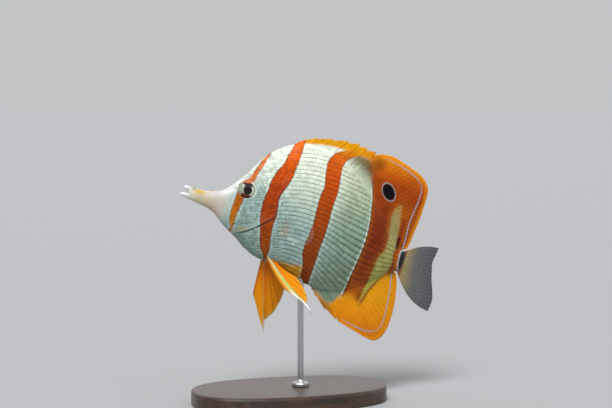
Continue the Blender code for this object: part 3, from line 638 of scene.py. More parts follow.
    # Soft mottling over all of it, a few millimetres across.
    mottle = put(tree, "TexNoise", place, 0.22, 4.0)
    shade = put(tree, "MapRange", mottle, 0.25, 0.75, 0.88, 1.07)
    colour = put(tree, "VectorMath.MULTIPLY", colour, shade)
    put(tree, "NodeGroupOutput", {"Colour": colour, "Pigment": pigment, "Place": place})
    return tree


def blank_material(name):
    """A new node material, and its tree and shader."""
    material = bpy.data.materials.new(name)
    material.use_nodes = True
    tree = material.node_tree
    return material, tree, tree.nodes["Principled BSDF"]


def join(tree, shader, **sockets):
    """Joins sockets to a shader's inputs; underscores in the names stand for spaces."""
    for key, value in sockets.items():
        target = shader.inputs[key.replace("_", " ")]
        if isinstance(value, bpy.types.NodeSocket):
            tree.links.new(value, target)
        else:
            target.default_value = value


def web_material(name):
    """A new fin material, its tree and shader, and for each place its ray, its rise and its way off a ray."""
    material, tree, shader = blank_material(name)
    ray, rise = (put(tree, "Attribute", attribute_name=key, out="Fac") for key in ("ray", "rise"))
    return material, tree, shader, ray, rise, put(tree, "Math.PINGPONG", ray, 0.5)


def grainy(tree, place, scale, detail, *ranges):
    """A noise over a place, and the same noise spread over each of these (low, high) ranges."""
    grain = put(tree, "TexNoise", place, scale, detail)
    return grain, *(put(tree, "MapRange", grain, 0.3, 0.7, low, high) for low, high in ranges)


def moist_skin(markings):
    """Moist, smooth, satin skin with painted shade in its creases at the gill opening, nostrils and lips."""
    material, tree, shader = blank_material("moist_fish_skin")
    group = put(tree, "Group", node_tree=markings).node.outputs
    grain, fleck, rough = grainy(tree, group["Place"], 1.9, 5.0, (0.86, 1.04), (0.30, 0.46))
    colour = put(tree, "VectorMath.MULTIPLY", group["Colour"], fleck)
    # Painted shade in the creases: the gill opening, the groove round the eye, the nostril pits and the
    # mouth.
    crease_shade = put(tree, "Attribute", out="Fac", attribute_name="shade")
    colour = paint_over(tree, colour, "1E1712", crease_shade, 0.05, 1.0, 0.95)
    # Where scales cover it the skin is darker: painted shade under the plates, and the olive of the row
    # lines.
    under = put(tree, "Attribute", out="Fac", attribute_name="scaled")
    colour = paint_over(
        tree, colour, put(tree, "VectorMath.MULTIPLY", colour, (0.55, 0.52, 0.42)), under, 0.2, 0.8,
    )
    normal = put(tree, "Bump", {"Strength": 0.25, "Distance": 0.0002, "Height": grain})
    join(tree, shader, Base_Color=colour, Roughness=rough, Normal=normal)
    join(tree, shader, Specular_IOR_Level=0.35, Coat_Weight=0.06, Coat_Roughness=0.22)
    join(tree, shader, Subsurface_Weight=0.08, Subsurface_Scale=0.001)
    return material


def pearl_scales(markings, name, lines):
    """Bony scales under thin skin: pearly in the middle, darker at the sides by lines, so that rows show."""
    material, tree, shader = blank_material(name)
    group = put(tree, "Group", node_tree=markings).node.outputs
    plate = put(tree, "UVMap", uv_map="plate")
    spot = put(tree, "SeparateXYZ", plate).node.outputs
    side = put(tree, "Math.SUBTRACT", spot["Y"], 0.5)
    side = put(tree, "Math.ABSOLUTE", side)
    place = put(tree, "SeparateXYZ", group["Place"]).node.outputs
    inner = put(tree, "MapRange", place["X"], 72.0, 86.0, 0.30, 0.22)
    rim = put(tree, "MapRange.SMOOTHSTEP", side, inner, 0.47)
    # High on the flank the lines break up into dots, one at the corner of each scale.
    high = put(tree, "MapRange", place["Z"], 6.0, 24.0)
    corner = put(tree, "MapRange", spot["X"], 0.45, 0.95, 0.25, 1.0)
    dots = put(tree, "Mix", high, 1.0, corner)
    rim = put(tree, "Math.MULTIPLY", rim, dots)
    cloud = put(tree, "TexNoise", group["Place"], 0.3, 2.0)
    cloud = put(tree, "MapRange", cloud, 0.35, 0.65, 0.65, 1.1)
    rim = put(tree, "Math.MULTIPLY", rim, cloud)
    tail_rim = put(tree, "MapRange.SMOOTHSTEP", spot["X"], 0.86, 0.99, 0.0, 0.12)
    rim = put(tree, "Math.MAXIMUM", rim, tail_rim)
    on_head = put(tree, "MapRange", place["X"], 46.0, 54.0, 0.45 * lines, lines)
    rim = put(tree, "Math.MULTIPLY", rim, on_head)
    level = put(tree, "MapRange", place["Z"], -10.0, 22.0)
    olive = put(tree, "Mix.RGBA", level, (0.42, 0.46, 0.46, 1), (0.44, 0.42, 0.22, 1))
    soft = put(tree, "Mix.RGBA", group["Pigment"], olive, (0.74, 0.68, 0.6, 1))
    rim_colour = put(tree, "VectorMath.MULTIPLY", group["Colour"], soft)
    colour = put(tree, "Mix.RGBA", rim, group["Colour"], rim_colour)
    # Cheek scales differ more from each other in tone than those of the flank.
    shade = put(tree, "Attribute", out="Fac", attribute_name="tone")
    reach = put(tree, "MapRange", place["X"], 46.0, 54.0, 2.4, 1.0)
    shade = put(tree, "Math.SUBTRACT", shade, 1.0)
    shade = put(tree, "Math.MULTIPLY_ADD", shade, reach, 1.0)
    colour = put(tree, "VectorMath.MULTIPLY", colour, shade)
    # Growth rings are drawn five to a scale, far coarser than real, so that they show.
    rings = put(tree, "Math.MULTIPLY", spot["X"], 31.0)
    rings = put(tree, "Math.SINE", rings)
    normal = put(tree, "Bump", {"Strength": 0.2, "Distance": 0.00003, "Height": rings})
    rough = put(tree, "MapRange", rim, 0.0, 1.0, 0.30, 0.5)
    join(tree, shader, Base_Color=colour, Roughness=rough, Normal=normal)
    join(tree, shader, Specular_IOR_Level=0.14, Coat_Weight=0.02, Coat_Roughness=0.2)
    return material


def webbed_fin(markings, line_fade):
    """Opaque, pigmented fin: golden rays, skin a little deeper between them, and a pearl margin line."""
    material, tree, shader, _, rise, away = web_material(f"webbed_fin_{line_fade[0]:.0f}")
    group = put(tree, "Group", node_tree=markings).node.outputs
    edge = put(tree, "Attribute", out="Fac", attribute_name="edge_mm")
    skin_share = put(tree, "MapRange.SMOOTHSTEP", away, 0.12, 0.42, 0.0, 0.8)
    skin_share = put(tree, "Math.MULTIPLY", skin_share, rise)
    deeper = put(tree, "VectorMath.MULTIPLY", group["Colour"], (0.90, 0.78, 0.6))
    colour = put(tree, "Mix.RGBA", skin_share, group["Colour"], deeper)
    rim = put(tree, "MapRange", edge, 0.0, 3.4, 1.0, 0.0)
    colour = put(tree, "Mix.RGBA", rim, colour, "E88E08")
    line = put(tree, "Attribute", out="Fac", attribute_name="line_mm")
    x = put(tree, "SeparateXYZ", group["Place"], out="X")
    fade = put(tree, "MapRange", x, line_fade[0], line_fade[1])
    near = stripe(tree, line, 0.0, 0.42)
    near = put(tree, "MapRange.SMOOTHSTEP", near, -0.1, 0.3)
    near = put(tree, "Math.MULTIPLY", near, fade)
    colour = put(tree, "Mix.RGBA", near, colour, "A2A2B4")
    grain, rough = grainy(tree, group["Place"], 1.4, 3.0, (0.36, 0.52))
    normal = put(tree, "Bump", {"Strength": 0.2, "Distance": 0.0001, "Height": grain})
    join(tree, shader, Base_Color=colour, Roughness=rough, Normal=normal)
    join(tree, shader, Specular_IOR_Level=0.12, Coat_Weight=0.02, Coat_Roughness=0.25)
    join(tree, shader, Subsurface_Weight=0.1, Subsurface_Scale=0.0015)
    return material


def spiny_web(markings):
    """Golden skin between stiff, paler spines, with a darker web."""
    material, tree, shader, _, rise, away = web_material("spiny_web")
    group = put(tree, "Group", node_tree=markings).node.outputs
    web = put(tree, "MapRange.SMOOTHSTEP", away, 0.05, 0.2, 0.0, 0.3)
    web = put(tree, "Math.MULTIPLY", web, rise)
    deeper = put(tree, "VectorMath.MULTIPLY", group["Colour"], (0.94, 0.85, 0.7))
    colour = put(tree, "Mix.RGBA", web, group["Colour"], deeper)
    _, fleck, rough = grainy(tree, group["Place"], 0.9, 4.0, (0.82, 1.08), (0.34, 0.5))
    colour = put(tree, "VectorMath.MULTIPLY", colour, fleck)
    join(tree, shader, Base_Color=colour, Roughness=rough)
    join(tree, shader, Specular_IOR_Level=0.12, Coat_Weight=0.02, Coat_Roughness=0.25)
    return material


def clear_web(name, root, middle, tip, alpha_ray, alpha_skin, alpha_root, markings=None):
    """Clear fin skin on milky rays: root, middle and tip are the rays' colours along their length."""
    material, tree, shader, _, rise, away = web_material(name)
    fork = put(tree, "MapRange.SMOOTHSTEP", rise, 0.42, 1.0, 0.0, 0.17)
    away = put(tree, "Math.SUBTRACT", away, fork)
    away = put(tree, "Math.ABSOLUTE", away)
    web = put(tree, "MapRange.SMOOTHSTEP", away, 0.06, 0.2)
    colour = put(
        tree, "ValToRGB", rise,
        stops=[(0.0, root), (0.16, root), (0.45, middle), (1.0, tip)],
    )
    darker = put(tree, "VectorMath.MULTIPLY", colour, (0.62, 0.62, 0.68))
    colour = put(tree, "Mix.RGBA", web, colour, darker)
    start = put(tree, "MapRange.SMOOTHSTEP", rise, 0.02, 0.4, alpha_root, 0.0)
    clear = put(tree, "MapRange", web, 0.0, 1.0, alpha_ray, alpha_skin)
    alpha = put(tree, "Math.MAXIMUM", clear, start)
    if markings:
        group = put(tree, "Group", node_tree=markings).node.outputs
        x = put(tree, "SeparateXYZ", group["Place"], out="X")
        black = put(tree, "MapRange", x, 126.4, 127.6, 1.0, 0.0)
        colour = put(tree, "Mix.RGBA", black, colour, group["Colour"])
    bones = put(tree, "Math.MULTIPLY", rise, 150.0)
    bones = put(tree, "Math.SINE", bones)
    normal = put(tree, "Bump", {"Strength": 0.15, "Distance": 0.00005, "Height": bones})
    join(tree, shader, Base_Color=colour, Alpha=alpha, Normal=normal)
    join(tree, shader, Roughness=0.28, Coat_Weight=0.15, Coat_Roughness=0.15)
    return material


def pelvic_web(name, pale_width):
    """Orange skin on brownish rays; the first long ray is pale green yellow and ends in a white thread."""
    material, tree, shader, ray, rise, away = web_material(name)
    colour = put(tree, "ValToRGB", rise, stops=[
        (0.0, "B85E04"), (0.15, "E67C02"), (0.6, "EC8E04"), (0.9, "E08C08"), (1.0, "D8A43A"),
    ])
    cord = put(tree, "MapRange.SMOOTHSTEP", away, 0.03, 0.14, 0.6, 0.0)
    colour = put(tree, "Mix.RGBA", cord, colour, "9C5A10")
    first = stripe(tree, ray, 1.0, pale_width)
    pale = put(tree, "MapRange.SMOOTHSTEP", first, 0.0, 0.25)
    long_ray = put(tree, "ValToRGB", rise, stops=[
        (0.0, "BCC6B0"), (0.45, "BFC868"), (0.78, "C8C878"), (0.88, "F0F0F2"),
    ])
    colour = put(tree, "Mix.RGBA", pale, colour, long_ray)
    _, fleck, rough = grainy(tree, fish_place(tree), 1.2, 4.0, (0.84, 1.06), (0.36, 0.5))
    colour = put(tree, "VectorMath.MULTIPLY", colour, fleck)
    join(tree, shader, Base_Color=colour, Roughness=rough)
    join(tree, shader, Specular_IOR_Level=0.12, Coat_Weight=0.02, Coat_Roughness=0.25)
    join(tree, shader, Subsurface_Weight=0.1, Subsurface_Scale=0.0015)
    return material


def glassy_eye(name):
    """A wet, glossy eye: black pupil, silver iris, and the copper band running over and under it."""
    material, tree, shader = blank_material(name)
    place = fish_place(tree)
    spot = put(tree, "VectorMath.SUBTRACT", place, (EYE_CENTRE[0], 0, EYE_CENTRE[1]))
    axes = put(tree, "SeparateXYZ", spot).node.outputs
    flat = put(tree, "CombineXYZ", axes["X"], axes["Z"])
    reach = put(tree, "VectorMath.LENGTH", flat)
    fibre = put(tree, "TexNoise", spot, 1.6, 4.0)
    wobble = put(tree, "Math.MULTIPLY_ADD", fibre, 1.0, -0.5)
    behind = put(tree, "MapRange", axes["X"], -3.4, 3.0)
    colour = put(tree, "ValToRGB", behind, stops=[
        (0.0, "8A9684"), (0.35, "ACB4A2"), (0.6, "E2E5D6"), (1.0, "F4F5EA"),
    ])
    # From the top down: the copper band, a navy bar, the pupil, and a dark red wedge under it.
    tilted = put(tree, "Math.MULTIPLY_ADD", axes["X"], -0.15, wobble)
    up = put(tree, "Math.ADD", axes["Z"], tilted)
    across = stripe(tree, axes["X"], -0.2, 2.6)
    for low, paint, centred in (
        (2.0, "7A3216", across), (2.3, "0C1222", across), (3.75, "C8600A", stripe(tree, axes["X"], 0.4, 3.0)),
    ):
        bar = put(tree, "Math.SUBTRACT", up, low)
        bar = put(tree, "Math.MINIMUM", bar, centred)
        colour = paint_over(tree, colour, paint, bar, -0.15, 0.25)
    under = put(tree, "Math.MULTIPLY_ADD", axes["Z"], -1.0, -1.7)
    under = put(tree, "Math.MINIMUM", under, stripe(tree, axes["X"], 0.2, 2.5))
    under = put(tree, "Math.ADD", under, wobble)
    colour = paint_over(tree, colour, "6A1E08", under, -0.2, 0.3)
    bottom = put(tree, "Math.MULTIPLY_ADD", axes["Z"], -1.0, -3.4)
    colour = paint_over(tree, colour, "1C0E08", bottom, 0.0, 0.4, 0.8)
    rim = put(tree, "Math.SUBTRACT", reach, 4.05)
    colour = paint_over(tree, colour, "4A5246", rim, 0.0, 0.4, 0.4)
    spot = put(tree, "VectorMath.SUBTRACT", flat, (0.35, 0.3, 0))
    reach = put(tree, "VectorMath.LENGTH", spot)
    pupil = put(tree, "Math.SUBTRACT", 2.15, reach)
    colour = paint_over(tree, colour, "5A4320", stripe(tree, pupil, -0.12, 0.18), -0.1, 0.1, 0.9)
    colour = paint_over(tree, colour, "020203", pupil, -0.05, 0.08)
    join(tree, shader, Base_Color=colour, Roughness=0.25, Specular_IOR_Level=0.15)
    join(tree, shader, Coat_Weight=0.55, Coat_Roughness=0.03)
    return material


def dark_wood():
    """Stained hardwood under satin varnish: straight dark grain along the base and fine pores."""
    material, tree, shader = blank_material("satin_walnut")
    coordinates = put(tree, "TexCoord", out="Object")
    # Growth rings are 2 to 3 mm apart and run along the base; pores are 0.3 mm wide.
    stretched = put(tree, "Mapping", {"Vector": coordinates, "Scale": (40, 380, 380)})
    rings = put(tree, "TexNoise", stretched, 1.0, 5.0, {"Distortion": 0.4})
    pores = put(tree, "Mapping", {"Vector": coordinates, "Scale": (220, 3300, 3300)})
    pores = put(tree, "TexNoise", pores, 1.0, 2.0)
    grain = put(tree, "Mix", 0.35, rings, pores)
    colour = put(tree, "ValToRGB", grain, stops=[
        (0.30, "1C1310"), (0.48, "35231A"), (0.60, "4A3123"), (0.75, "2A1B15"),
    ])
    rough = put(tree, "MapRange", grain, 0.3, 0.7, 0.32, 0.48)
    normal = put(tree, "Bump", {"Strength": 0.25, "Distance": 0.0001, "Height": pores})
    join(tree, shader, Base_Color=colour, Roughness=rough, Normal=normal)
    join(tree, shader, Coat_Weight=0.25, Coat_Roughness=0.2)
    return material


def brushed_steel():
    """Stainless rod, brushed lengthways: fine upright streaks that break up its highlight."""
    material, tree, shader = blank_material("brushed_steel")
    coordinates = put(tree, "TexCoord", out="Object")
    # Brush marks are 0.1 mm wide and about 8 mm long.
    marks = put(tree, "Mapping", {"Vector": coordinates, "Scale": (9000, 9000, 120)})
    marks, rough = grainy(tree, marks, 1.0, 3.0, (0.24, 0.4))
    colour = put(tree, "ValToRGB", marks, stops=[(0.3, "A9ABAD"), (0.7, "C8C9CA")])
    normal = put(tree, "Bump", {"Strength": 0.2, "Distance": 0.00002, "Height": marks})
    join(tree, shader, Base_Color=colour, Roughness=rough, Normal=normal, Metallic=1.0)
    return material


# The skin.
SKIN_INSET = 0.14
SIDE_STEPS = 120
MOUTH_STEP = 62
WEB_STEPS = 7
MOUTH_CORNER = 3.6
BILL_END, BILL_STEP = 23, 0.42
FACE_END, FACE_STEP = 57, 0.3
REAR_STATIONS = 96
JAW_RINGS = 26
UPPER_JAW = (
    (3.6, 1.9, 1.5, 1.6), (2.3, 2.08, 1.36, 1.5), (1.3, 2.2, 1.2, 1.45), (0.5, 2.25, 1.0, 1.25),
    (0.05, 2.25, 0.72, 0.9), (-0.25, 2.2, 0.3, 0.4),
)
LOWER_JAW = (
    (3.6, -1.45, 1.45, 1.6), (2.4, -1.55, 1.24, 1.45), (1.3, -1.5, 1.14, 1.4), (0.4, -1.52, 1.04, 1.25),
    (-0.4, -1.58, 0.78, 0.95), (-0.95, -1.6, 0.32, 0.45),
)


def flank_section(x, steps):
    """Points down the right flank at x, evenly spread above and below the widest line, and their arcs."""
    angle = np.linspace(0, math.pi, 601)
    edge = np.where(angle < math.pi / 2, BODY_TOP(x), BODY_BOTTOM(x))
    z = widest_z(x) + np.abs(np.cos(angle)) * (edge - widest_z(x))
    y = flank_y(np.full_like(z, x), z)
    reach = running(np.hypot(np.diff(y), np.diff(z)))
    middle = reach[300]
    upper = round(steps * (1 - WIDEST_SHARE))
    wanted = np.concatenate(
        (np.linspace(0, middle, upper + 1)[:-1], np.linspace(middle, reach[-1], steps - upper + 1))
    )
    points = np.stack((np.full(len(wanted), x), np.interp(wanted, reach, y), np.interp(wanted, reach, z)), -1)
    return points, middle - wanted


def grid_normals(grid):
    """Outward unit normals of a grid of points: rows run back along the fish, columns down its right."""
    back = np.gradient(grid, axis=0)
    down = np.gradient(grid, axis=1)
    normal = np.cross(back, down)
    normal /= np.maximum(np.linalg.norm(normal, axis=-1, keepdims=True), 1e-9)
    return normal * np.where(normal[..., 1:2] < -0.2, -1, 1)


# Relief in millimetres: the eye socket and the rim round it, the nostril pits, the gill opening with the
# swollen edge of its cover, the bend of the cheek and the pad under the pectoral fin.
SOCKET_DEPTH, SOCKET_EDGE = 1.3, (3.75, 4.2)
LID_HEIGHT, LID_RADIUS = 0.22, 4.45
PIT_DEPTH, PIT_EDGE = 0.75, (0.25, 0.6)
SLIT_DEPTH, COVER_HEIGHT, BEND_HEIGHT, PAD_HEIGHT = 0.55, 0.34, 0.12, 0.35
# How far the coat keeps off the middle of the eye and of a nostril, and where it starts and ends.
EYE_CLEAR, PIT_CLEAR = 4.9, 1.3
COAT_START, COAT_END = 26.4, 121.4


def relief(x, z):
    """How far the skin stands out of the plain body, in millimetres, and the painted shade in its creases."""
    eye = np.hypot(x - EYE_CENTRE[0], z - EYE_CENTRE[1])
    out = -SOCKET_DEPTH * (1 - ease(*SOCKET_EDGE, eye)) + LID_HEIGHT * bump(eye - LID_RADIUS, 0.4)
    dark = 0.75 * bump(eye - 4.0, 0.22)
    for nx, nz in NOSTRILS:
        away = np.hypot(x - nx, z - nz)
        out = out - PIT_DEPTH * (1 - ease(*PIT_EDGE, away)) + 0.12 * bump(away - 0.75, 0.2)
        dark = np.maximum(dark, 0.6 - 0.6 * ease(0.3, 0.6, away))
    slit, along = to_line(x, z, GILL_SLIT)
    fade = ease(0.0, 0.12, along) * (1 - ease(0.86, 1.0, along))
    out = out - fade * SLIT_DEPTH * bump(slit, 0.34)
    out = out + fade * COVER_HEIGHT * np.where(slit < 0, bump(slit + 0.5, 0.75), 0)
    dark = np.maximum(dark, fade * ease(0.4, 0.62, along) * bump(slit - 0.1, 0.42))
    dark = np.maximum(dark, 0.35 * fade * bump(slit, 0.3))
    bend, along = to_line(x, z, CHEEK_BEND)
    fade = ease(0, 0.1, along) * (1 - ease(0.9, 1, along))
    out = out + BEND_HEIGHT * fade * (bump(bend + 0.4, 0.5) - bump(bend - 0.3, 0.4))
    root, _ = to_line(x, z, PECTORAL_ROOT)
    return out + PAD_HEIGHT * bump(root, 1.8), dark


def body_edge(x, z):
    """How far below the body's upper edge and above its lower edge places are."""
    return np.minimum(BODY_TOP(x) - z, z - BODY_BOTTOM(x))


def coat_edge(x, z):
    """Above 0 where scales grow: off the eye, the bill, the nostrils and the throat side of the cheek."""
    eye = np.hypot(x - EYE_CENTRE[0], z - EYE_CENTRE[1]) - EYE_CLEAR
    bill = x - (COAT_START + 0.1 * np.abs(z - 3))
    cover, _ = to_line(x, z, GILL_SLIT)
    slit = np.where(cover < 0, -cover - 0.9, cover - 0.75)
    bend, _ = to_line(x, z, CHEEK_BEND)
    throat = np.maximum.reduce([z - 1.0, 0.3 - bend, cover])
    nostril = np.min([np.hypot(x - nx, z - nz) for nx, nz in NOSTRILS], axis=0) - PIT_CLEAR
    return np.minimum.reduce([eye, bill, slit, throat, nostril, COAT_END - x])


def build_skin(inset, material):
    """One closed skin from lips to tail root, with both jaws, gill covers, eye sockets and nostrils."""
    bill = np.arange(MOUTH_CORNER, BILL_END, BILL_STEP)
    face = np.arange(bill[-1] + FACE_STEP, FACE_END, FACE_STEP)
    rear = np.linspace(face[-1] + 0.7, STANDARD_LENGTH + 0.15, REAR_STATIONS)
    stations = np.concatenate((bill, face, rear))
    grid = np.array([flank_section(x, SIDE_STEPS)[0] for x in stations])
    out, dark = relief(grid[..., 0], grid[..., 2])
    scaled = ease(-0.2, 0.8, coat_edge(grid[..., 0], grid[..., 2]))
    scaled = scaled * ease(0.6, 2.4, body_edge(grid[..., 0], grid[..., 2]))
    grid = grid + grid_normals(grid) * (out - inset)[..., None]
    vertices, shade, under = [], [], []
    ring = 2 * SIDE_STEPS + 4
    for row, crease_shade, coat in zip(grid, dark, scaled):
        vertices.append((row[0][0], 0, row[0][2] + 0.06))
        vertices.extend(row)
        vertices.append((row[-1][0], 0, row[-1][2] - 0.06))
        vertices.extend(row[::-1] * [1, -1, 1])
        shade.extend([0, *crease_shade, 0, *crease_shade[::-1]])
        under.extend([coat[0], *coat, coat[-1], *coat[::-1]])
    faces = []
    for i in range(len(stations) - 1):
        a, b = i * ring, (i + 1) * ring
        faces.extend((a + j, b + j, b + (j + 1) % ring, a + (j + 1) % ring) for j in range(ring))
    faces.append([(len(stations) - 1) * ring + j for j in range(ring)])

    # The first ring parts into an upper and a lower loop, which share a web across the corners of the mouth.
    right, left = 1 + MOUTH_STEP, ring - 1 - MOUTH_STEP
    a, b = np.array(vertices[right]), np.array(vertices[left])
    web = []
    for share in np.linspace(0, 1, WEB_STEPS + 2)[1:-1]:
        web.append(len(vertices))
        vertices.append(a + (b - a) * share + [1.2 * math.sin(math.pi * share), 0, 0])
        # The web across the mouth is painted in shade, for the open mouth between the jaws.
        shade.append(0.9)
    upper = list(range(right, -1, -1)) + list(range(ring - 1, left - 1, -1)) + web[::-1]
    lower = list(range(left, right - 1, -1)) + web
    for loop, stations_mm, inner in ((upper, UPPER_JAW, -1), (lower, LOWER_JAW, 1)):
        path = smooth_path(stations_mm)
        start = np.array([vertices[v] for v in loop])
        centre = start.mean(axis=0)
        angle = np.unwrap(np.arctan2(start[:, 2] - centre[2], start[:, 1]))
        before, size = loop, len(loop)
        for share in np.linspace(0, 1, JAW_RINGS)[1:]:
            x, z, high, wide = path(share)
            blend = float(ease(0, 0.3, share))
            now_at = np.stack((np.full(size, x), wide * np.cos(angle), z + high * np.sin(angle)), -1)
            now_at[:, 1:] = start[:, 1:] * (1 - blend) + now_at[:, 1:] * blend
            now = list(range(len(vertices), len(vertices) + size))
            vertices.extend(now_at)
            # Painted shade on the inner sides of the lips, where they face into the mouth.
            inside = 0.7 * np.clip((np.sin(angle) * inner - 0.86) * 6, 0, 1)
            shade.extend(inside * (1 - 0.6 * share))
            faces.extend(
                (before[j], before[(j + 1) % size], now[(j + 1) % size], now[j]) for j in range(size)
            )
            before = now
        faces.append(before[::-1])
    under.extend([0.0] * (len(vertices) - len(under)))
    skin = link("skin", vertices, faces, {"shade": shade, "scaled": under})
    face_outwards(skin)
    finish_piece(
        skin, "scaled_skin", material, "trunk", "head", "snout", "tail_base", "gill_cover_left",
        "gill_cover_right", "jaw_upper", "jaw_lower",
    )


# The coat of scales. Rows are traced over tables of the flank: arc length up from the widest line against x.
FLANK_PITCH = (2.3, 2.03)
HEAD_PITCH = (1.5, 1.32)
COAT_LIFT = math.radians(3.2)
TRACE_STEP = 0.1
ARC_STEP = 0.25
ARC_REACH = 46.0
REFERENCE_X = 62.0
HEAD_REFERENCE_X = 40.0
COAT_FRONT, COAT_REAR = 23.0, 124.4
# One scale as built, in millimetres, its points along and across, and its share of the unwrap's width.
PLATE_LENGTH, PLATE_WIDTH, PLATE_THICK = 3.16, 2.48, 0.1
PLATE_ALONG, PLATE_ACROSS = 5, 7
PLATE_SHARP = math.radians(70)
PATCH = 0.003
DARKEST, PALEST = 0.86, 1.06


def along_surface(run, normal):
    """Unit directions laid flat against unit normals."""
    return unit(run - normal * (run * normal).sum(1, keepdims=True))


def unwrap(place, v):
    """Places on the coat's unwrap: u along the fish and v up it."""
    u = (place[:, 0] - COAT_FRONT) / (COAT_REAR - COAT_FRONT) * 0.96 + 0.02
    return np.stack((u, v, 0 * u), -1)


class FlankTable:
    """The right flank as height and width against x and arc length, for placing scales."""

    def __init__(self):
        self.xs = np.arange(COAT_FRONT - 1, COAT_REAR + 1.2, 0.5)
        self.arcs = np.arange(-ARC_REACH, ARC_REACH + ARC_STEP / 2, ARC_STEP)
        self.y = np.full((len(self.xs), len(self.arcs)), np.nan)
        self.z = np.full((len(self.xs), len(self.arcs)), np.nan)
        for i, x in enumerate(self.xs):
            points, arc = flank_section(x, 200)
            self.y[i] = np.interp(self.arcs, arc[::-1], points[::-1, 1], left=np.nan, right=np.nan)
            self.z[i] = np.interp(self.arcs, arc[::-1], points[::-1, 2], left=np.nan, right=np.nan)

    def at(self, x, arc):
        """Points on the flank, with no number where an arc length runs off it."""
        u = np.clip((x - self.xs[0]) / 0.5, 0, len(self.xs) - 1.001)
        v = np.clip((arc + ARC_REACH) / ARC_STEP, 0, len(self.arcs) - 1.001)
        i, j = u.astype(int), v.astype(int)
        a, b = u - i, v - j
        found = [
            table[i, j] * (1 - a) * (1 - b) + table[i + 1, j] * a * (1 - b)
            + table[i, j + 1] * (1 - a) * b + table[i + 1, j + 1] * a * b
            for table in (self.y, self.z)
        ]
        return np.stack((x, *found), -1)


# How much a row climbs from the widest line per millimetre, and how rows spread or close up.
ROW_CLIMB = smooth_curve((20, 0.12), (48, 0.2), (62, 0.19), (87, 0.1), (105, 0.04), (125, 0), level=True)
ROW_SPREAD = smooth_curve((20, 0.0), (50, 0.002), (90, 0.003), (108, -0.02), (125, -0.035), level=True)
# How much more the rows below this arc length fan out towards the tail.
FAN_TOP = 9.0
ROW_FAN = smooth_curve((20, 0), (66, 0), (76, 0.0095), (98, 0.0095), (110, 0), (125, 0), level=True)


def row_climb(x, arc):
    """How fast rows at these arc lengths climb at this station."""
    return ROW_CLIMB(x) + ROW_SPREAD(x) * arc + ROW_FAN(x) * np.minimum(arc - FAN_TOP, 0)


def trace_rows(pitch, reference):
    """Stations along the flank, each row's arc length at each, and which station the rows are counted at."""
    steps = np.arange(COAT_FRONT, COAT_REAR, TRACE_STEP)
    middle = int(np.argmin(np.abs(steps - reference)))
    count = int(60 / pitch)
    arcs = np.zeros((2 * count + 1, len(steps)))
    arcs[:, middle] = (np.arange(-count, count + 1) + 0.5) * pitch
    for i in range(middle + 1, len(steps)):
        arcs[:, i] = arcs[:, i - 1] + row_climb(steps[i], arcs[:, i - 1]) * TRACE_STEP
    for i in range(middle - 1, -1, -1):
        arcs[:, i] = arcs[:, i + 1] - row_climb(steps[i], arcs[:, i + 1]) * TRACE_STEP
    return steps, arcs, middle


def scale_places(table, pitch, reference, wanted):
    """Where scales sit on the right flank: places, arc lengths, the way the row runs and how big each is."""
    across, along = pitch
    steps, arcs, middle = trace_rows(across, reference)
    found = []
    for row, arc in enumerate(arcs):
        stretch = np.hypot(1.0, np.gradient(arc, steps))
        reach = running((stretch[1:] + stretch[:-1]) / 2 * TRACE_STEP)
        reach -= reach[middle]
        spread = np.clip(np.gradient(arcs, axis=0)[row] / across, 0.5, 1.3)
        scaled_reach = running(np.diff(reach) / spread[1:])
        scaled_reach -= scaled_reach[middle]
        low, high = scaled_reach[0], scaled_reach[-1]
        slots = (np.arange(math.ceil(low / along), math.floor(high / along)) + 0.5 * (row % 2)) * along
        x = np.interp(slots, scaled_reach, steps)
        here = np.interp(x, steps, arc)
        slope = np.interp(x, steps, np.gradient(arc, steps))
        found.append(np.stack((x, here, np.interp(x, steps, spread), slope), -1))
    x, arc, spread, slope = np.concatenate(found).T
    place = table.at(x, arc)
    near = 0.25
    run = table.at(x + near, arc + near * slope) - place
    rise = table.at(x, arc + near) - table.at(x, arc - near)
    normal = np.cross(rise, run)
    good = np.isfinite(place).all(1) & np.isfinite(run).all(1) & np.isfinite(rise).all(1)
    place, run, normal, arc, spread = (values[good] for values in (place, run, normal, arc, spread))
    normal = unit(normal) * np.sign(normal[:, 1:2])
    run = along_surface(run, normal)
    kept = wanted(place[:, 0], place[:, 2]) > 0
    return place[kept], run[kept], normal[kept], arc[kept], spread[kept] * across / FLANK_PITCH[0]


def coarse_side(x, z):
    """Above 0 on the flank behind the gill opening and the breast, where scales are large."""
    behind, _ = to_line(x, z, ((52.5, 46), (49.6, 30), (49.0, 10), (49.5, 1), (54, -9), (60, -19), (63, -26)))
    return behind


def flank_coat():
    """Every scale of the right flank: large ones on the trunk, small ones on the head, nape and breast."""
    table = FlankTable()
    large = scale_places(
        table, FLANK_PITCH, REFERENCE_X, lambda x, z: np.minimum(coat_edge(x, z), coarse_side(x, z) - 0.2)
    )
    small = scale_places(
        table, HEAD_PITCH, HEAD_REFERENCE_X, lambda x, z: np.minimum(coat_edge(x, z), 0.2 - coarse_side(x, z))
    )
    return [np.concatenate(pair) for pair in zip(large, small)]


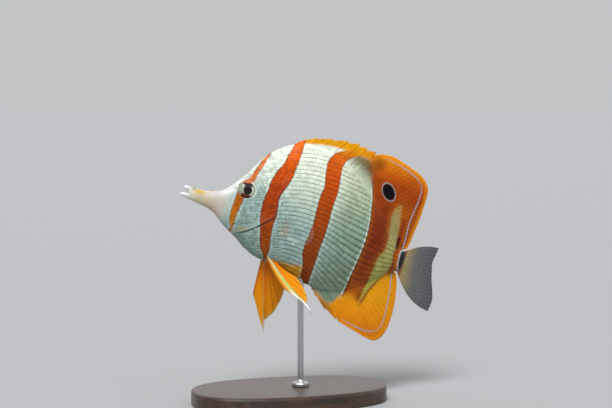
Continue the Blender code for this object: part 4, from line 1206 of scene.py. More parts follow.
def scale_plate():
    """One scale: a lens-shaped plate with a round free edge, its own map over it from root to free edge."""
    along, across = PLATE_ALONG, PLATE_ACROSS
    vertices, local = [], []
    for i in range(along):
        u = i / (along - 1)
        for j in range(across):
            v = j / (across - 1)
            side = 2 * v - 1
            round_end = 1 - 0.22 * abs(side) ** 2.4
            narrow = 0.80 + 0.20 * ease(0, 0.55, u)
            x = (u * round_end - 0.5) * PLATE_LENGTH
            rim = (1 - side**2) * (1 - (2 * u - 1) ** 2) ** 0.5
            vertices.append(Vector((x, side * narrow * PLATE_WIDTH / 2, PLATE_THICK * float(rim))) * MM)
            local.append((u, v))
    faces = []
    for i in range(along - 1):
        for j in range(across - 1):
            a = i * across + j
            faces.append((a, a + across, a + across + 1, a + 1))
    index = np.arange(along * across).reshape(along, across)
    faces.append([*index[0], *index[1:, -1], *index[-1, -2::-1], *index[-2:0:-1, 0]])
    mesh = bpy.data.meshes.new("scale_plate")
    mesh.from_pydata(vertices, [], faces)
    mesh.update()
    uv = mesh.uv_layers.new(name="plate")
    for loop in mesh.loops:
        uv.data[loop.index].uv = local[loop.vertex_index]
    mesh.shade_smooth()
    mesh.set_sharp_from_angle(angle=PLATE_SHARP)
    return add_object("scale_plate", mesh)


def coat_tree(seed):
    """Geometry nodes that grow one scale on each point, each a little different in tilt, size and tone."""
    tree = bpy.data.node_groups.new("scale_coat", "GeometryNodeTree")
    tree.interface.new_socket("Geometry", in_out="INPUT", socket_type="NodeSocketGeometry")
    for name, kind in (
        ("Plate", "NodeSocketObject"), ("Wobble", "NodeSocketFloat"), ("Size spread", "NodeSocketFloat"),
        ("Patch", "NodeSocketFloat"), ("Material", "NodeSocketMaterial"),
    ):
        tree.interface.new_socket(name, in_out="INPUT", socket_type=kind)
    tree.interface.new_socket("Geometry", in_out="OUTPUT", socket_type="NodeSocketGeometry")
    given = put(tree, "NodeGroupInput").node.outputs
    named = {
        key: put(tree, "GeometryNodeInputNamedAttribute", {"Name": key}, data_type=kind)
        for key, kind in (
            ("turn", "FLOAT_VECTOR"), ("size", "FLOAT"), ("root", "FLOAT_VECTOR"), ("plate", "FLOAT_VECTOR"),
        )
    }
    shade = put(tree, "FunctionNodeRandomValue", {2: DARKEST, 3: PALEST, "Seed": seed}, data_type="FLOAT")
    toned = put(
        tree, "GeometryNodeStoreNamedAttribute",
        {"Geometry": given["Geometry"], "Name": "tone", "Value": shade}, data_type="FLOAT", domain="POINT",
    )
    low = put(tree, "Math.MULTIPLY", given["Wobble"], -1.0)
    sway = put(
        tree, "FunctionNodeRandomValue",
        {
            0: put(tree, "CombineXYZ", *[low] * 3), 1: put(tree, "CombineXYZ", *[given["Wobble"]] * 3),
            "Seed": seed + 1,
        },
        data_type="FLOAT_VECTOR",
    )
    turn = put(tree, "FunctionNodeEulerToRotation", {"Euler": named["turn"]})
    sway = put(tree, "FunctionNodeEulerToRotation", {"Euler": sway})
    turn = put(
        tree, "FunctionNodeRotateRotation", {"Rotation": turn, "Rotate By": sway}, rotation_space="LOCAL",
    )
    smallest = put(tree, "Math.SUBTRACT", 1.0, given["Size spread"])
    growth = put(tree, "FunctionNodeRandomValue", {2: smallest, 3: 1.0, "Seed": seed + 2}, data_type="FLOAT")
    growth = put(tree, "Math.MULTIPLY", growth, named["size"])
    plate = put(tree, "GeometryNodeObjectInfo", {"Object": given["Plate"]}, out="Geometry")
    coat = put(
        tree, "GeometryNodeInstanceOnPoints",
        {"Points": toned, "Instance": plate, "Rotation": turn, "Scale": growth},
    )
    coat = put(tree, "GeometryNodeRealizeInstances", {"Geometry": coat})
    local = put(tree, "VectorMath.ADD", named["plate"], (-0.5, -0.5, 0))
    local = put(tree, "VectorMath.SCALE", {0: local, "Scale": given["Patch"]})
    local = put(tree, "VectorMath.ADD", local, named["root"])
    coat = put(
        tree, "GeometryNodeStoreNamedAttribute", {"Geometry": coat, "Name": "OFBake", "Value": local},
        data_type="FLOAT2", domain="CORNER",
    )
    coat = put(tree, "GeometryNodeSetMaterial", {"Geometry": coat, "Material": given["Material"]})
    put(tree, "NodeGroupOutput", {"Geometry": coat})
    return tree


def grow_coat(name, tree, plate, places, material, wobble, spread, slot):
    """One piece of coat from places, row directions, outward normals, roots on the unwrap and sizes."""
    place, run, normal, root, size = places
    slope = 2 * SWEEP * np.maximum(place[:, 0] - SWEEP_START, 0)
    run = run + np.stack((0 * slope, slope * run[:, 0], 0 * slope), -1)
    normal = normal - np.stack((slope * normal[:, 1], 0 * slope, 0 * slope), -1)
    run = run * math.cos(COAT_LIFT) + normal * math.sin(COAT_LIFT)
    frame_turn = np.array(PLACE.to_3x3())
    turns = []
    for along, out in zip(run @ frame_turn.T, normal @ frame_turn.T):
        along = Vector(along).normalized()
        out = Vector(out)
        out = (out - along * out.dot(along)).normalized()
        turns.append(Matrix((along, out.cross(along), out)).transposed().to_euler())
    mesh = bpy.data.meshes.new(name)
    mesh.from_pydata([tuple(v) for v in to_frame(place)], [], [])
    for key, kind, numbers in (("turn", "FLOAT_VECTOR", turns), ("root", "FLOAT_VECTOR", root)):
        numbers = np.array([tuple(n) for n in numbers], np.float32).ravel()
        mesh.attributes.new(key, kind, "POINT").data.foreach_set("vector", numbers)
    mesh.attributes.new("size", "FLOAT", "POINT").data.foreach_set("value", np.asarray(size, np.float32))
    points = add_object(name, mesh)
    modifier = points.modifiers.new("coat", "NODES")
    modifier.node_group = tree
    inputs = {"Plate": plate, "Wobble": wobble, "Size spread": spread, "Patch": PATCH, "Material": material}
    for item in tree.interface.items_tree:
        if item.item_type == "SOCKET" and item.in_out == "INPUT" and item.name in inputs:
            modifier[item.identifier] = inputs[item.name]
    bpy.context.view_layer.update()
    evaluated = points.evaluated_get(bpy.context.evaluated_depsgraph_get())
    made = bpy.data.meshes.new_from_object(evaluated)
    points.modifiers.clear()
    points.data = made
    made.name = name
    if not made.polygons:
        raise RuntimeError(f"{name} grew no scales")
    finish_piece(points, slot, None)


# The fins, as thin closed sheets. Half thicknesses in millimetres.
ROOT_HALF = 1.35
MARGIN_HALF = 0.22
SOFT_ROWS, SPINY_ROWS, PELVIC_ROWS = 44, 26, 52
ROOT_SUNK = 0.8
DORSAL_LINE = (
    (97.5, 49.8), (102.3, 49.2), (107.7, 48.3), (113.4, 46.9), (119.1, 44.9), (123.2, 41.8), (124.2, 38.5),
    (124.1, 33), (123.3, 26.7), (122.8, 21.3), (123.1, 16.5), (123.6, 11.8), (123.7, 5.8),
)
ANAL_LINE = (
    (87.6, -32.1), (93.8, -35.6), (100.2, -37.9), (105.1, -39.4), (110, -40.3), (116.2, -41.1),
    (120.8, -40.7), (123.9, -39.1), (125.8, -36.1), (125.9, -30.2), (125, -22.9), (123.7, -15.1),
    (121.8, -7.6),
)
DORSAL_SOFT_FROM, DORSAL_SOFT_LONG = 87.2, 34.3
ANAL_SOFT_FROM, ANAL_SOFT_LONG = 88.2, 33.3
SOFT_END = 121.5
DORSAL_SPINES = (48.6, 51.2, 55.5, 61.5, 68.3, 74.6, 79.8, 84.4, 88.6)
DORSAL_TIPS = (
    (50.4, 43.2), (53.4, 45.4), (59.2, 48.1), (67, 50.2), (75.7, 51.9), (82.2, 52.3), (86.9, 51.6),
    (92.1, 51.2), (97, 51.2),
)
DORSAL_MARGIN = (
    (95.2, 51), (102, 51.8), (107.7, 50.7), (113.8, 49.2), (120, 47.5), (124.4, 45.2), (127.3, 42.2),
    (128.4, 37.9), (128.5, 31.9), (128.4, 23.8), (127.6, 16.5), (127, 10.3), (125.9, 7.2), (124.4, 6.3),
)
ANAL_SPINES = (80.6, 83.6, 87.2, 89.0)
ANAL_TIPS = ((84.9, -31.4), (92.5, -36.9), (100, -40.2), (102.2, -40.7))
ANAL_MARGIN = (
    (101.2, -40.5), (107.7, -42), (113.6, -43.4), (119.6, -44.7), (124.6, -44.8), (127.8, -42.2),
    (129.7, -37.5), (130.3, -31.3), (129.7, -23.3), (128, -15.7), (125.9, -9.3), (124.6, -6.9),
)
TAIL_MARGIN = (
    (146.8, 13.2), (146.2, 9), (145.6, 4.4), (147, 0.4), (149, -4.8), (151.8, -9.8), (153.8, -14.6),
    (153.4, -21.4),
)
PECTORAL_RIM = (
    (61.8, 12.6, 7.6), (65, 14, 6.6), (67.8, 15.6, 2.4), (69.3, 15.2, -2.6), (68, 14, -6.2),
    (64.4, 12.2, -8.2),
)
PELVIC_TIPS = {
    "left": (
        (63.5, -12, -31.7), (74, -14, -35.2), (81.3, -14.4, -39.3), (78, -12.6, -36.4), (77.8, -11.6, -35.8),
        (77.7, -10.4, -33.8), (77.6, -9.2, -32.5), (76, -8, -30.2), (74, -7, -27.9), (71.6, -6.2, -26),
        (69.4, -5.2, -24.4),
    ),
    "right": (
        (54.2, 9, -40), (62.2, 9.8, -52), (66.5, 10.5, -57.5), (64.9, 10, -51.6), (65.4, 9.6, -50.8),
        (66.9, 9.1, -48.4), (68, 8.6, -46), (68.5, 8, -43.4), (68.9, 7.4, -40.6), (69.3, 6.8, -37),
        (69, 6.2, -32.5),
    ),
}


def on_edge(x, upper):
    """Points on the body's upper or lower edge, sunk a little into it so that no seam shows."""
    edge = BODY_TOP if upper else BODY_BOTTOM
    x = np.asarray(x, float)
    slope = edge(x + 0.5) - edge(x - 0.5)
    off = np.stack((-slope, 0 * slope, 1 + 0 * slope), -1)
    middle = np.stack((x, 0 * x, edge(x)), -1)
    return middle - unit(off) * ROOT_SUNK * (1 if upper else -1)


def ray_ridge(ray, rise):
    """How much of a soft ray stands out of the membrane: a cord that forks twice on its way to the margin."""
    away = ray - np.round(ray)
    first = 0.17 * ease(0.42, 1.0, rise)
    second = 0.085 * ease(0.72, 1.0, rise)
    width = 0.13 - 0.06 * ease(0.2, 0.9, rise)
    return sum(bump(away - a * first - b * second, width) for a in (-1, 1) for b in (-1, 1)).clip(0, 1)


def fin_sheet(name, ray, root, tip, half, across, bow=(0, 0, 0), line=None):
    """A closed thin fin: ray numbers its columns, half is its half thickness at each column and row."""
    columns, rows = half.shape
    rise = np.linspace(0, 1, rows)
    middle = root[:, None] * (1 - rise)[None, :, None] + tip[:, None] * rise[None, :, None]
    middle = middle + np.broadcast_to(bow, root.shape)[:, None] * (4 * rise * (1 - rise))[None, :, None]
    across = np.broadcast_to(np.asarray(across, float), root.shape)[:, None]
    vertices = np.concatenate([(middle + across * half[..., None] * side).reshape(-1, 3) for side in (1, -1)])
    index = np.arange(columns * rows).reshape(columns, rows)
    quads = np.stack((index[:-1, :-1], index[1:, :-1], index[1:, 1:], index[:-1, 1:]), -1).reshape(-1, 4)
    other = columns * rows
    faces = [tuple(q) for q in quads] + [tuple(q[::-1] + other) for q in quads]
    rim = list(index[:, 0]) + list(index[-1, 1:]) + list(index[-2::-1, -1]) + list(index[0, -2:0:-1])
    faces.extend((a + other, b + other, b, a) for a, b in zip(rim, rim[1:] + rim[:1]))
    values = {
        "ray": np.broadcast_to(ray[:, None], (columns, rows)),
        "rise": np.broadcast_to(rise[None], (columns, rows)),
        "edge_mm": np.linalg.norm(tip - root, axis=1)[:, None] * (1 - rise)[None],
    }
    if line is not None:
        values["line_mm"] = np.abs(to_line(middle[..., 0], middle[..., 2], line)[0])
    values = {key: np.concatenate((v.ravel(), v.ravel())) for key, v in values.items()}
    fin = link(name, vertices, faces, values)
    face_outwards(fin)
    return fin


def soft_fin(
    name, count, root_at, tip_at, root_half=ROOT_HALF, across=(0, 1, 0), bow_at=None, line=None, per_ray=10,
    ridge=0.12, lead=0.0,
):
    """A soft fin of forked rays from root_at to tip_at, both of shares 0..1; lead thins its first rays."""
    ray = np.linspace(0, count - 1, (count - 1) * per_ray + 1)
    share = ray / (count - 1)
    root, tip = root_at(share), tip_at(share)
    dip = 0.5 - 0.5 * np.cos(2 * math.pi * ray)
    tip = root + (tip - root) * (1 - 0.006 * dip)[:, None]
    rise = np.linspace(0, 1, SOFT_ROWS)
    base = root_half + (MARGIN_HALF - root_half) * rise**0.55
    cord = ray_ridge(ray[:, None], rise[None])
    half = base[None] - ridge * (1 - cord) * (ease(0, 0.12, rise) * (1 - 0.6 * rise))[None]
    if lead:
        half = half * (0.35 + 0.65 * ease(0, lead, ray))[:, None]
    bow = bow_at(share) if bow_at else (0, 0, 0)
    return fin_sheet(name, ray, root, tip, np.maximum(half, 0.07), across, bow, line)


def spiny_fin(name, roots, tips, upper, drop, line=None):
    """A fin of stiff spines, with the membrane cut away by drop behind each tip."""
    count, per_spine = len(roots), 22
    tips = np.array([(x, 0, z) for x, z in tips], float)
    roots = np.array(roots, float)
    ray = np.unique(
        np.concatenate((np.linspace(0, count - 1, (count - 1) * per_spine + 1), np.arange(count - 1) + 0.03)),
    )
    first = np.minimum(ray.astype(int), count - 2)
    f = ray - first
    root = on_edge(roots[first] * (1 - f) + roots[first + 1] * f, upper)
    here, there = tips[first], tips[first + 1]
    spine_root = on_edge(roots[first], upper)
    valley = on_edge(roots[first] + 0.25 * (roots[first + 1] - roots[first]), upper)
    notch = spine_root + (here - spine_root) * (1 - drop) + (valley - spine_root) * 0.6
    rising = notch + (there - notch) * 0.62
    # The margin runs from this spine's tip down its back edge, across the notch and up to the next tip.
    spots = [0, 0.03, 0.12, 0.25, 0.7, 1]
    weights = [
        np.interp(f, spots, shares)
        for shares in ((1, 0.8, 0, 0, 0, 0), (0, 0.2, 1, 1, 0, 0), (0, 0, 0, 0, 1, 0), (0, 0, 0, 0, 0, 1))
    ]
    total = sum(weights)
    tip = sum((w / total)[:, None] * points for w, points in zip(weights, (here, notch, rising, there)))
    rise = np.linspace(0, 1, SPINY_ROWS)
    away = np.minimum(f, 1 - f) * np.diff(roots)[first]
    spine = bump(away[:, None], 0.75 * (1 - 0.55 * rise)[None])
    web_half = ROOT_HALF - 0.3
    base = web_half + (MARGIN_HALF - web_half) * rise**0.6
    half = base[None] + spine * (0.3 - 0.2 * rise)[None]
    half = half * (1 - 0.5 * ease(count - 1.5, count - 1, ray))[:, None]
    return fin_sheet(name, ray, root, tip, half, (0, 1, 0), line=line)


def margin_of(points):
    """A fin's margin in the fish's middle plane, as a function of shares 0..1."""
    return smooth_path([(x, 0, z) for x, z in points])


# The small scales that climb from the body onto the dorsal and anal fins.
FIN_SCALE_PITCH = (1.2, 1.0)
FIN_SCALE_SIZE = 0.533
EDGE_ROWS = (0.25, 0.95, 1.65)
EDGE_LIFT = 0.02
FIN_SCALE_ROWS = 11
FIN_SCALE_END = 121.0
FIN_SCALE_STEP = 0.05
DORSAL_CLIMB = smooth_curve(
    (50, 0.3), (62, 2.2), (76, 5.2), (86, 8.5), (98, 9.5), (108, 6.5), (121, 1.8), level=True,
)
ANAL_CLIMB = smooth_curve((80, 1.5), (88, 4.5), (94, 7), (104, 6), (112, 3.6), (121, 1.2), level=True)


def edge_scales(upper, start, depth):
    """A row of scales along the body's edge, depth in from it, that joins the flank to the fin."""
    edge = BODY_TOP if upper else BODY_BOTTOM
    inward = -1 if upper else 1
    xs = np.arange(start + 1, FIN_SCALE_END, FIN_SCALE_STEP)
    reach = running(np.hypot(np.diff(xs), np.diff(edge(xs))))
    x = np.interp(np.arange(depth, reach[-1], FIN_SCALE_PITCH[0]), reach, xs)
    near = 0.2

    def on_flank(x):
        z = edge(x) + inward * depth
        return np.stack((x, flank_y(x, z), z), -1)

    place = on_flank(x)
    along = on_flank(x + near) - place
    z = place[:, 2] - inward * near
    outward = np.stack((x, flank_y(x, z), z), -1) - place
    normal = np.cross(along, outward)
    normal *= np.sign(normal[:, 1:2]) / np.linalg.norm(normal, axis=1, keepdims=True)
    run = 0.75 * along / near + 0.5 * outward / near
    return place + normal * EDGE_LIFT, along_surface(run, normal), normal, np.full(len(x), -0.8 - depth)


def fin_base_scales(upper, spines, tips, soft_from, margin, climb, seed):
    """Scales over the root of the dorsal or anal fin: places, directions, normals, unwrap and sizes."""
    shares = np.linspace(0.08, 1, 30)
    soft = margin_of(margin)(shares)
    roots = np.concatenate((spines, soft_from + (SOFT_END - soft_from) * shares))
    ends = np.concatenate((tips, soft[:, [0, 2]]))
    order = np.argsort(roots)
    roots, ends = roots[order], ends[order]
    xs = np.arange(roots[0], FIN_SCALE_END, FIN_SCALE_STEP)
    line = on_edge(xs, upper)
    reach = running(np.linalg.norm(np.diff(line, axis=0), axis=1))
    across, along = FIN_SCALE_PITCH
    chance = np.random.default_rng(seed)
    found = []
    for row in range(FIN_SCALE_ROWS):
        spots = np.arange(0.6 * (row % 2), reach[-1], across)
        x = np.interp(spots, reach, xs)
        high = -0.2 + row * along
        ragged = chance.uniform(-0.9, 0.5, len(x))
        x = x[high < climb(x) + ragged]
        root = on_edge(x, upper)
        tip = np.stack([np.interp(x, roots, ends[:, 0]), 0 * x, np.interp(x, roots, ends[:, 1])], -1)
        length = np.linalg.norm(tip - root, axis=1)
        way = (tip - root) / length[:, None]
        rise = (high + ROOT_SUNK) / length
        thick = np.where(x < soft_from + 1, ROOT_HALF - 0.3, ROOT_HALF)
        half = thick + (MARGIN_HALF - thick) * rise**0.57
        place = root + way * (high + ROOT_SUNK) + np.stack((0 * x, half + 0.02, 0 * x), -1)
        run = way + np.stack((0 * x, -0.57 * (thick - MARGIN_HALF) * rise**-0.43 / length, 0 * x), -1)
        run = unit(run)
        normal = unit(np.array((0, 1, 0)) - run * run[:, 1:2])
        found.append((place, run, normal, np.full(len(x), high)))
    found.extend(edge_scales(upper, xs[0], depth) for depth in EDGE_ROWS)
    place, run, normal, high = (np.concatenate(parts) for parts in zip(*found))
    root = unwrap(place, 0.86 + 0.012 * high if upper else 0.14 - 0.012 * high)
    return place, run, normal, root, FIN_SCALE_SIZE * (1 - 0.03 * high)


SCALED_FINS = (
    (True, DORSAL_SPINES, DORSAL_TIPS, DORSAL_SOFT_FROM, DORSAL_MARGIN, DORSAL_CLIMB),
    (False, ANAL_SPINES, ANAL_TIPS, ANAL_SOFT_FROM, ANAL_MARGIN, ANAL_CLIMB),
)


def build_coat(material, fin_material, wobble, spread, seed):
    """The coat of each flank, from the right flank's scales and their mirror image."""
    place, run, normal, arc, size = flank_coat()
    lift, _ = relief(place[:, 0], place[:, 2])
    place = place + normal * (lift - SKIN_INSET + 0.02)[:, None]
    flank = place, run, normal, unwrap(place, 0.5 + 0.86 * arc / (2 * ARC_REACH)), size
    fins = [np.concatenate(pair) for pair in zip(*(
        fin_base_scales(*fin, growth) for growth, fin in enumerate(SCALED_FINS)
    ))]
    tree, plate = coat_tree(seed), scale_plate()
    for name, scales, paint, slot in (
        ("scales", flank, material, "scaled_skin"), ("fin_scales", fins, fin_material, "orange_fin"),
    ):
        for side, word in ((-1, "left"), (1, "right")):
            mirrored = [values * (1, side, 1) for values in scales[:3]]
            grow_coat(f"{name}_{word}", tree, plate, (*mirrored, *scales[3:]), paint, wobble, spread, slot)
    bpy.data.objects.remove(plate)


def build_dorsal(spiny_material, soft_material):
    """The dorsal fin: nine spines with notched skin in front, and a tall soft fin behind."""
    spiny = spiny_fin("dorsal_spines", DORSAL_SPINES, DORSAL_TIPS, True, 0.1)
    soft = soft_fin(
        "dorsal_rays", 29, lambda s: on_edge(DORSAL_SOFT_FROM + DORSAL_SOFT_LONG * s, True),
        margin_of(DORSAL_MARGIN), line=DORSAL_LINE, lead=1.6,
    )
    finish_piece(spiny, "orange_fin", spiny_material, "dorsal_fin_spiny")
    finish_piece(soft, "orange_fin", soft_material, "dorsal_fin_soft")


def build_anal(spiny_material, soft_material):
    """The anal fin: three spines that run into a broad soft fin."""
    spiny = spiny_fin("anal_spines", ANAL_SPINES, ANAL_TIPS, False, 0.12)
    soft = soft_fin(
        "anal_rays", 21, lambda s: on_edge(ANAL_SOFT_FROM + ANAL_SOFT_LONG * s, False),
        margin_of(ANAL_MARGIN), line=ANAL_LINE, lead=1.2,
    )
    finish_piece(spiny, "orange_fin", spiny_material)
    finish_piece(soft, "orange_fin", soft_material, "anal_fin")


def build_tail(material):
    """The tail fin: a fan whose outer rays bow away from the middle, the lower corner longer."""
    high, low = np.array((124.6, 0, 4.9)), np.array((124.6, 0, -5.1))
    high_bow, low_bow = np.array((-0.6, 0, 1.9)), np.array((-1.2, 0, -3.9))
    tail = soft_fin(
        "tail_rays", 17, lambda s: high + (low - high) * s[:, None], margin_of(TAIL_MARGIN), 1.2,
        bow_at=lambda s: high_bow + (low_bow - high_bow) * s[:, None], per_ray=14,
    )
    finish_piece(tail, "clear_fin", material, "tail_fin")


def build_pectorals(material):
    """The clear fans on the flanks."""
    (top_x, top_z), (low_x, low_z) = PECTORAL_ROOT
    for side, name in ((-1, "left"), (1, "right")):

        def root(s):
            x, z = top_x + (low_x - top_x) * s, top_z + (low_z - top_z) * s
            return np.stack((x, side * (flank_y(x, z) - 1.0), z), -1)

        outward = np.array((-0.45, side * 0.9, 0))
        outward /= np.linalg.norm(outward)
        rim = smooth_path([(x, side * y, z) for x, y, z in PECTORAL_RIM])
        fin = soft_fin(f"pectoral_rays_{name}", 14, root, rim, 0.8, outward, ridge=0.15)
        finish_piece(fin, "clear_fin", material, f"pectoral_fin_{name}")


def build_pelvics(**materials):
    """The pelvic fins: a spine, a long pale ray and four shorter ones on each side."""
    for name, tips in PELVIC_TIPS.items():
        side = math.copysign(1, tips[0][1])
        front, rear = np.array((51.2, side * 3.2, -18.6)), np.array((55.6, side * 2.2, -19.6))
        tips = np.array(tips, float)
        across = np.cross(tips[2] - front, tips[-1] - front)
        across /= np.linalg.norm(across)
        last = len(tips) - 1
        spot = np.linspace(0, last, last * 6 + 1)
        steps = np.arange(last + 1)
        sharp = np.stack([np.interp(spot, steps, tips[:, k]) for k in range(3)], -1)
        curved = np.stack([smooth_curve(*zip(steps[3:], tips[3:, k]))(spot) for k in range(3)], -1)
        tip = np.where(spot[:, None] < 3, sharp, curved)
        root = front + (rear - front) * (spot / last)[:, None]
        ray, rise = spot / 2, np.linspace(0, 1, PELVIC_ROWS)
        away = np.abs(ray - np.round(ray))
        cord = bump(away[:, None], (0.2 - 0.08 * rise)[None])
        base = 0.75 + (MARGIN_HALF - 0.75) * rise**0.6
        half = base[None] + cord * (0.2 - 0.08 * rise)[None]
        fin = fin_sheet(f"pelvic_rays_{name}", ray, root, tip, half, across, (0, 0, -0.9))
        finish_piece(fin, "orange_fin", materials[name], f"pelvic_fin_{name}")


def build_eyes(material):
    """Two domes, each with its pole on the line across the fish."""
    x, z = EYE_CENTRE
    segments, rings = 72, 36
    turns = np.linspace(0, 2 * math.pi, segments, endpoint=False)
    for side, name in ((-1, "left"), (1, "right")):
        middle = np.array((x, side * (float(flank_y(x, z)) + EYE_BULGE - EYE_DEPTH), z))
        vertices = [middle + (0, side * EYE_DEPTH, 0)]
        for a in np.linspace(0, math.pi, rings + 1)[1:-1]:
            ring = np.stack((
                EYE_RADIUS * math.sin(a) * np.cos(turns), np.full(segments, side * EYE_DEPTH * math.cos(a)),
                EYE_RADIUS * math.sin(a) * np.sin(turns),
            ), -1)
            vertices.extend(middle + ring)
        vertices.append(middle - (0, side * EYE_DEPTH, 0))
        faces = []
        last = 1 + (rings - 2) * segments
        for j in range(segments):
            k = (j + 1) % segments
            faces.append((0, 1 + j, 1 + k))
            faces.append((last + j, len(vertices) - 1, last + k))
            for a in range(1, last, segments):
                faces.append((a + j, a + segments + j, a + segments + k, a + k))
        eye = link(f"eyeball_{name}", vertices, faces)
        face_outwards(eye)
        finish_piece(eye, "eye", material, f"eye_{name}")


def build_stand():
    """The stand keeps its CAD shapes, finished as varnished wood and brushed steel."""
    for node, material in (("stand_base", dark_wood()), ("stand_rod", brushed_steel())):
        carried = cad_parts[node]
        carried.data.materials.clear()
        carried.data.materials.append(material)


# The studio.
AZIMUTH, ELEVATION = math.radians(-15), math.radians(4)
CAMERA_FROM_SNOUT = Vector((-130.38, -730.05, 44.99)) * MM
LENS, SENSOR = 85, 36
FLOOR_RADIUS = 40
SKY_STRENGTH = 0.6


def build_stage(floor_colour, key, fill):
    """A wide pale floor with no edge in sight, an even pale sky, and three soft suns."""
    bpy.ops.mesh.primitive_circle_add(vertices=64, radius=FLOOR_RADIUS, fill_type="NGON")
    floor = bpy.context.object
    floor.name = "floor"
    material, tree, shader = blank_material("matt_studio_floor")
    coordinates = put(tree, "TexCoord", out="Object")
    grain = put(tree, "TexNoise", coordinates, 60.0, 3.0)
    colour = put(tree, "Mix.RGBA", grain, (*floor_colour, 1), (*[c * 0.97 for c in floor_colour], 1))
    join(tree, shader, Base_Color=colour, Roughness=0.85)
    floor.data.materials.append(material)
    world = bpy.data.worlds.new("studio")
    bpy.context.scene.world = world
    world.use_nodes = True
    sky = world.node_tree.nodes["Background"]
    sky.inputs["Color"].default_value = tone("F4F6F8")
    sky.inputs["Strength"].default_value = SKY_STRENGTH
    for name, towards, power, softness in (
        ("key", (-0.45, -0.75, 1.3), key, 25), ("fill", (0.9, -0.35, 0.5), fill, 60),
        ("back", (0.1, 0.9, 0.7), fill, 60),
    ):
        sun = bpy.data.lights.new(name, "SUN")
        sun.energy = power
        sun.angle = math.radians(softness)
        add_object(name, sun).rotation_euler = Vector(towards).to_track_quat("Z", "Y").to_euler()
    bpy.context.scene.view_settings.view_transform = "Standard"
    camera = bpy.data.cameras.new("camera")
    camera.lens = LENS
    camera.sensor_width = SENSOR
    seat = add_object("camera", camera)
    back = Vector((
        math.sin(AZIMUTH) * math.cos(ELEVATION), -math.cos(AZIMUTH) * math.cos(ELEVATION), math.sin(ELEVATION)
    ))
    seat.location = PLACE.translation + CAMERA_FROM_SNOUT
    seat.rotation_euler = (-back).to_track_quat("-Z", "Y").to_euler()
    bpy.context.scene.camera = seat


def colour_property(name, description, code):
    """A colour setting from its sRGB hex code."""
    return FloatVectorProperty(
        name=name, description=description, default=tone(code)[:3], subtype="COLOR", size=3, min=0.0, max=1.0
    )


class FishSkinSettings(PropertyGroup):
    inset: FloatProperty(
        name="Inset", description="How far the skin lies inside the solid, which leaves room for the scales",
        default=SKIN_INSET * MM, min=0.0, max=0.001, precision=5, unit="LENGTH",
    )


class FishCoatSettings(PropertyGroup):
    wobble: FloatProperty(
        name="Wobble", description="How much each scale may turn from its row", default=math.radians(3.2),
        min=0.0, max=0.3, unit="ROTATION",
    )
    spread: FloatProperty(
        name="Size spread", description="How much smaller the smallest scale is", default=0.12, min=0.0,
        max=0.5, subtype="FACTOR",
    )
    seed: IntProperty(name="Seed", description="Fixes the random turns, sizes and tones", default=7, min=0)


class FishMarkingSettings(PropertyGroup):
    # The pale tones darken from crest to belly, partly painted shade of light from above.
    crest: colour_property("Crest", "Pale skin at the top of the back", "ECF3E4")
    back: colour_property("Back", "Pale skin high on the flank", "DFE9D6")
    upper: colour_property("Upper flank", "Pale skin above the middle", "BFD1C2")
    mid: colour_property("Middle", "Pale skin along the middle", "9CBAB3")
    low: colour_property("Lower flank", "Pale skin below the middle", "98B2AC")
    belly: colour_property("Belly", "Pale skin along the belly", "8AA296")
    yellow: colour_property("Belly yellow", "Yellow edge of the belly", "CC8E02")
    gold: colour_property("Gold", "Gold of the spiny dorsal and anal fins", "E49C08")
    fan: colour_property("Fan", "Orange of the soft dorsal fin", "9E3E02")


class FishStudioSettings(PropertyGroup):
    floor: colour_property("Floor", "The studio floor", "A1A2A4")
    key: FloatProperty(name="Key", description="Strength of the key light", default=3.0, min=0.0)
    fill: FloatProperty(name="Fill", description="Strength of each fill light", default=0.3, min=0.0)


def shared_markings():
    """The marking group, made once from the settings."""
    found = bpy.data.node_groups.get("butterflyfish_markings")
    if found:
        return found
    settings = bpy.context.scene.fish_markings
    names = ("crest", "back", "upper", "mid", "low", "belly", "yellow", "gold", "fan")
    return build_markings({name: (*getattr(settings, name), 1.0) for name in names})


class FISH_OT_stage(Operator):
    """Make the floor, the lights and the camera"""

    bl_idname = "fish.stage"
    bl_label = "Studio"

    def execute(self, context):
        settings = context.scene.fish_studio
        build_stage(tuple(settings.floor), settings.key, settings.fill)
        return {"FINISHED"}


class FISH_OT_skin(Operator):
    """Make the skin from lips to tail root"""

    bl_idname = "fish.skin"
    bl_label = "Skin"

    def execute(self, context):
        build_skin(context.scene.fish_skin.inset / MM, moist_skin(shared_markings()))
        return {"FINISHED"}


class FISH_OT_scales(Operator):
    """Grow the coat of scales on both flanks"""

    bl_idname = "fish.scales"
    bl_label = "Scales"

    def execute(self, context):
        settings = context.scene.fish_coat
        markings = shared_markings()
        flank, fins = (
            pearl_scales(markings, name, lines) for name,
            lines in (("pearl_scales", 1.0), ("fin_scales", 0.5))
        )
        build_coat(flank, fins, settings.wobble, settings.spread, settings.seed)
        return {"FINISHED"}


class FISH_OT_eyes(Operator):
    """Make both eyes"""

    bl_idname = "fish.eyes"
    bl_label = "Eyes"

    def execute(self, context):
        build_eyes(glassy_eye("wet_eye"))
        return {"FINISHED"}


class FISH_OT_median_fins(Operator):
    """Make the dorsal and anal fins"""

    bl_idname = "fish.median_fins"
    bl_label = "Dorsal and anal fins"

    def execute(self, context):
        markings = shared_markings()
        spiny = spiny_web(markings)
        build_dorsal(spiny, webbed_fin(markings, (96.0, 110.0)))
        build_anal(spiny, webbed_fin(markings, (100.0, 113.0)))
        return {"FINISHED"}


class FISH_OT_tail_fin(Operator):
    """Make the tail fin"""

    bl_idname = "fish.tail_fin"
    bl_label = "Tail fin"

    def execute(self, context):
        build_tail(clear_web("tail_web", "BEA55C", "6C6B65", "4A4C59", 0.94, 0.7, 1.0, shared_markings()))
        return {"FINISHED"}


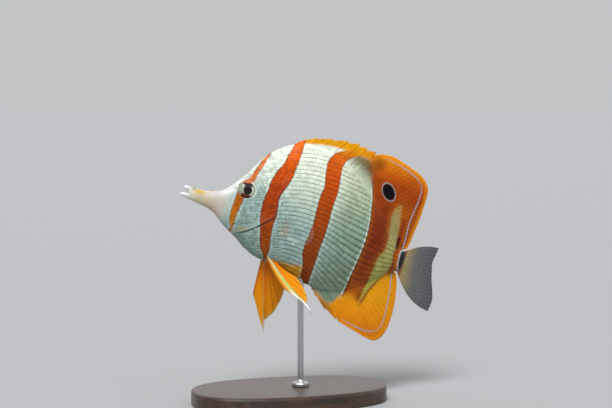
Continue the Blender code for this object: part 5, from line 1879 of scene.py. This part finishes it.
class FISH_OT_paired_fins(Operator):
    """Make the pectoral and pelvic fins"""

    bl_idname = "fish.paired_fins"
    bl_label = "Pectoral and pelvic fins"

    def execute(self, context):
        build_pectorals(clear_web("pectoral_web", "B8A88A", "C0C8C4", "BAC4C4", 0.09, 0.02, 0.2))
        build_pelvics(left=pelvic_web("pelvic_web", 0.85), right=pelvic_web("pelvic_web_pale", 0.18))
        return {"FINISHED"}


class FISH_OT_stand(Operator):
    """Finish the wooden base and the steel rod"""

    bl_idname = "fish.stand"
    bl_label = "Stand"

    def execute(self, context):
        build_stand()
        return {"FINISHED"}


OPERATORS = (
    FISH_OT_stage, FISH_OT_skin, FISH_OT_scales, FISH_OT_eyes, FISH_OT_median_fins, FISH_OT_tail_fin,
    FISH_OT_paired_fins, FISH_OT_stand,
)
SETTINGS = {
    "fish_skin": FishSkinSettings, "fish_coat": FishCoatSettings, "fish_markings": FishMarkingSettings,
    "fish_studio": FishStudioSettings,
}


class FISH_PT_panel(Panel):
    bl_label = "Butterflyfish"
    bl_idname = "FISH_PT_panel"
    bl_space_type = "VIEW_3D"
    bl_region_type = "UI"
    bl_category = "Fish"

    def draw(self, context):
        for name, kind in SETTINGS.items():
            box = self.layout.box()
            box.label(text=name.replace("_", " ").capitalize())
            for key in kind.__annotations__:
                box.prop(getattr(context.scene, name), key)
        for operator in OPERATORS:
            self.layout.operator(operator.bl_idname)


def register():
    for kind in (*SETTINGS.values(), *OPERATORS, FISH_PT_panel):
        bpy.utils.register_class(kind)
    for name, kind in SETTINGS.items():
        setattr(bpy.types.Scene, name, PointerProperty(type=kind))


def unregister():
    for name in SETTINGS:
        delattr(bpy.types.Scene, name)
    for kind in reversed((*SETTINGS.values(), *OPERATORS, FISH_PT_panel)):
        bpy.utils.unregister_class(kind)


def main():
    register()
    bpy.ops.fish.stage()
    bpy.ops.fish.skin()
    bpy.ops.fish.scales()
    bpy.ops.fish.eyes()
    bpy.ops.fish.median_fins()
    bpy.ops.fish.tail_fin()
    bpy.ops.fish.paired_fins()
    bpy.ops.fish.stand()


if __name__ == "__main__":
    main()
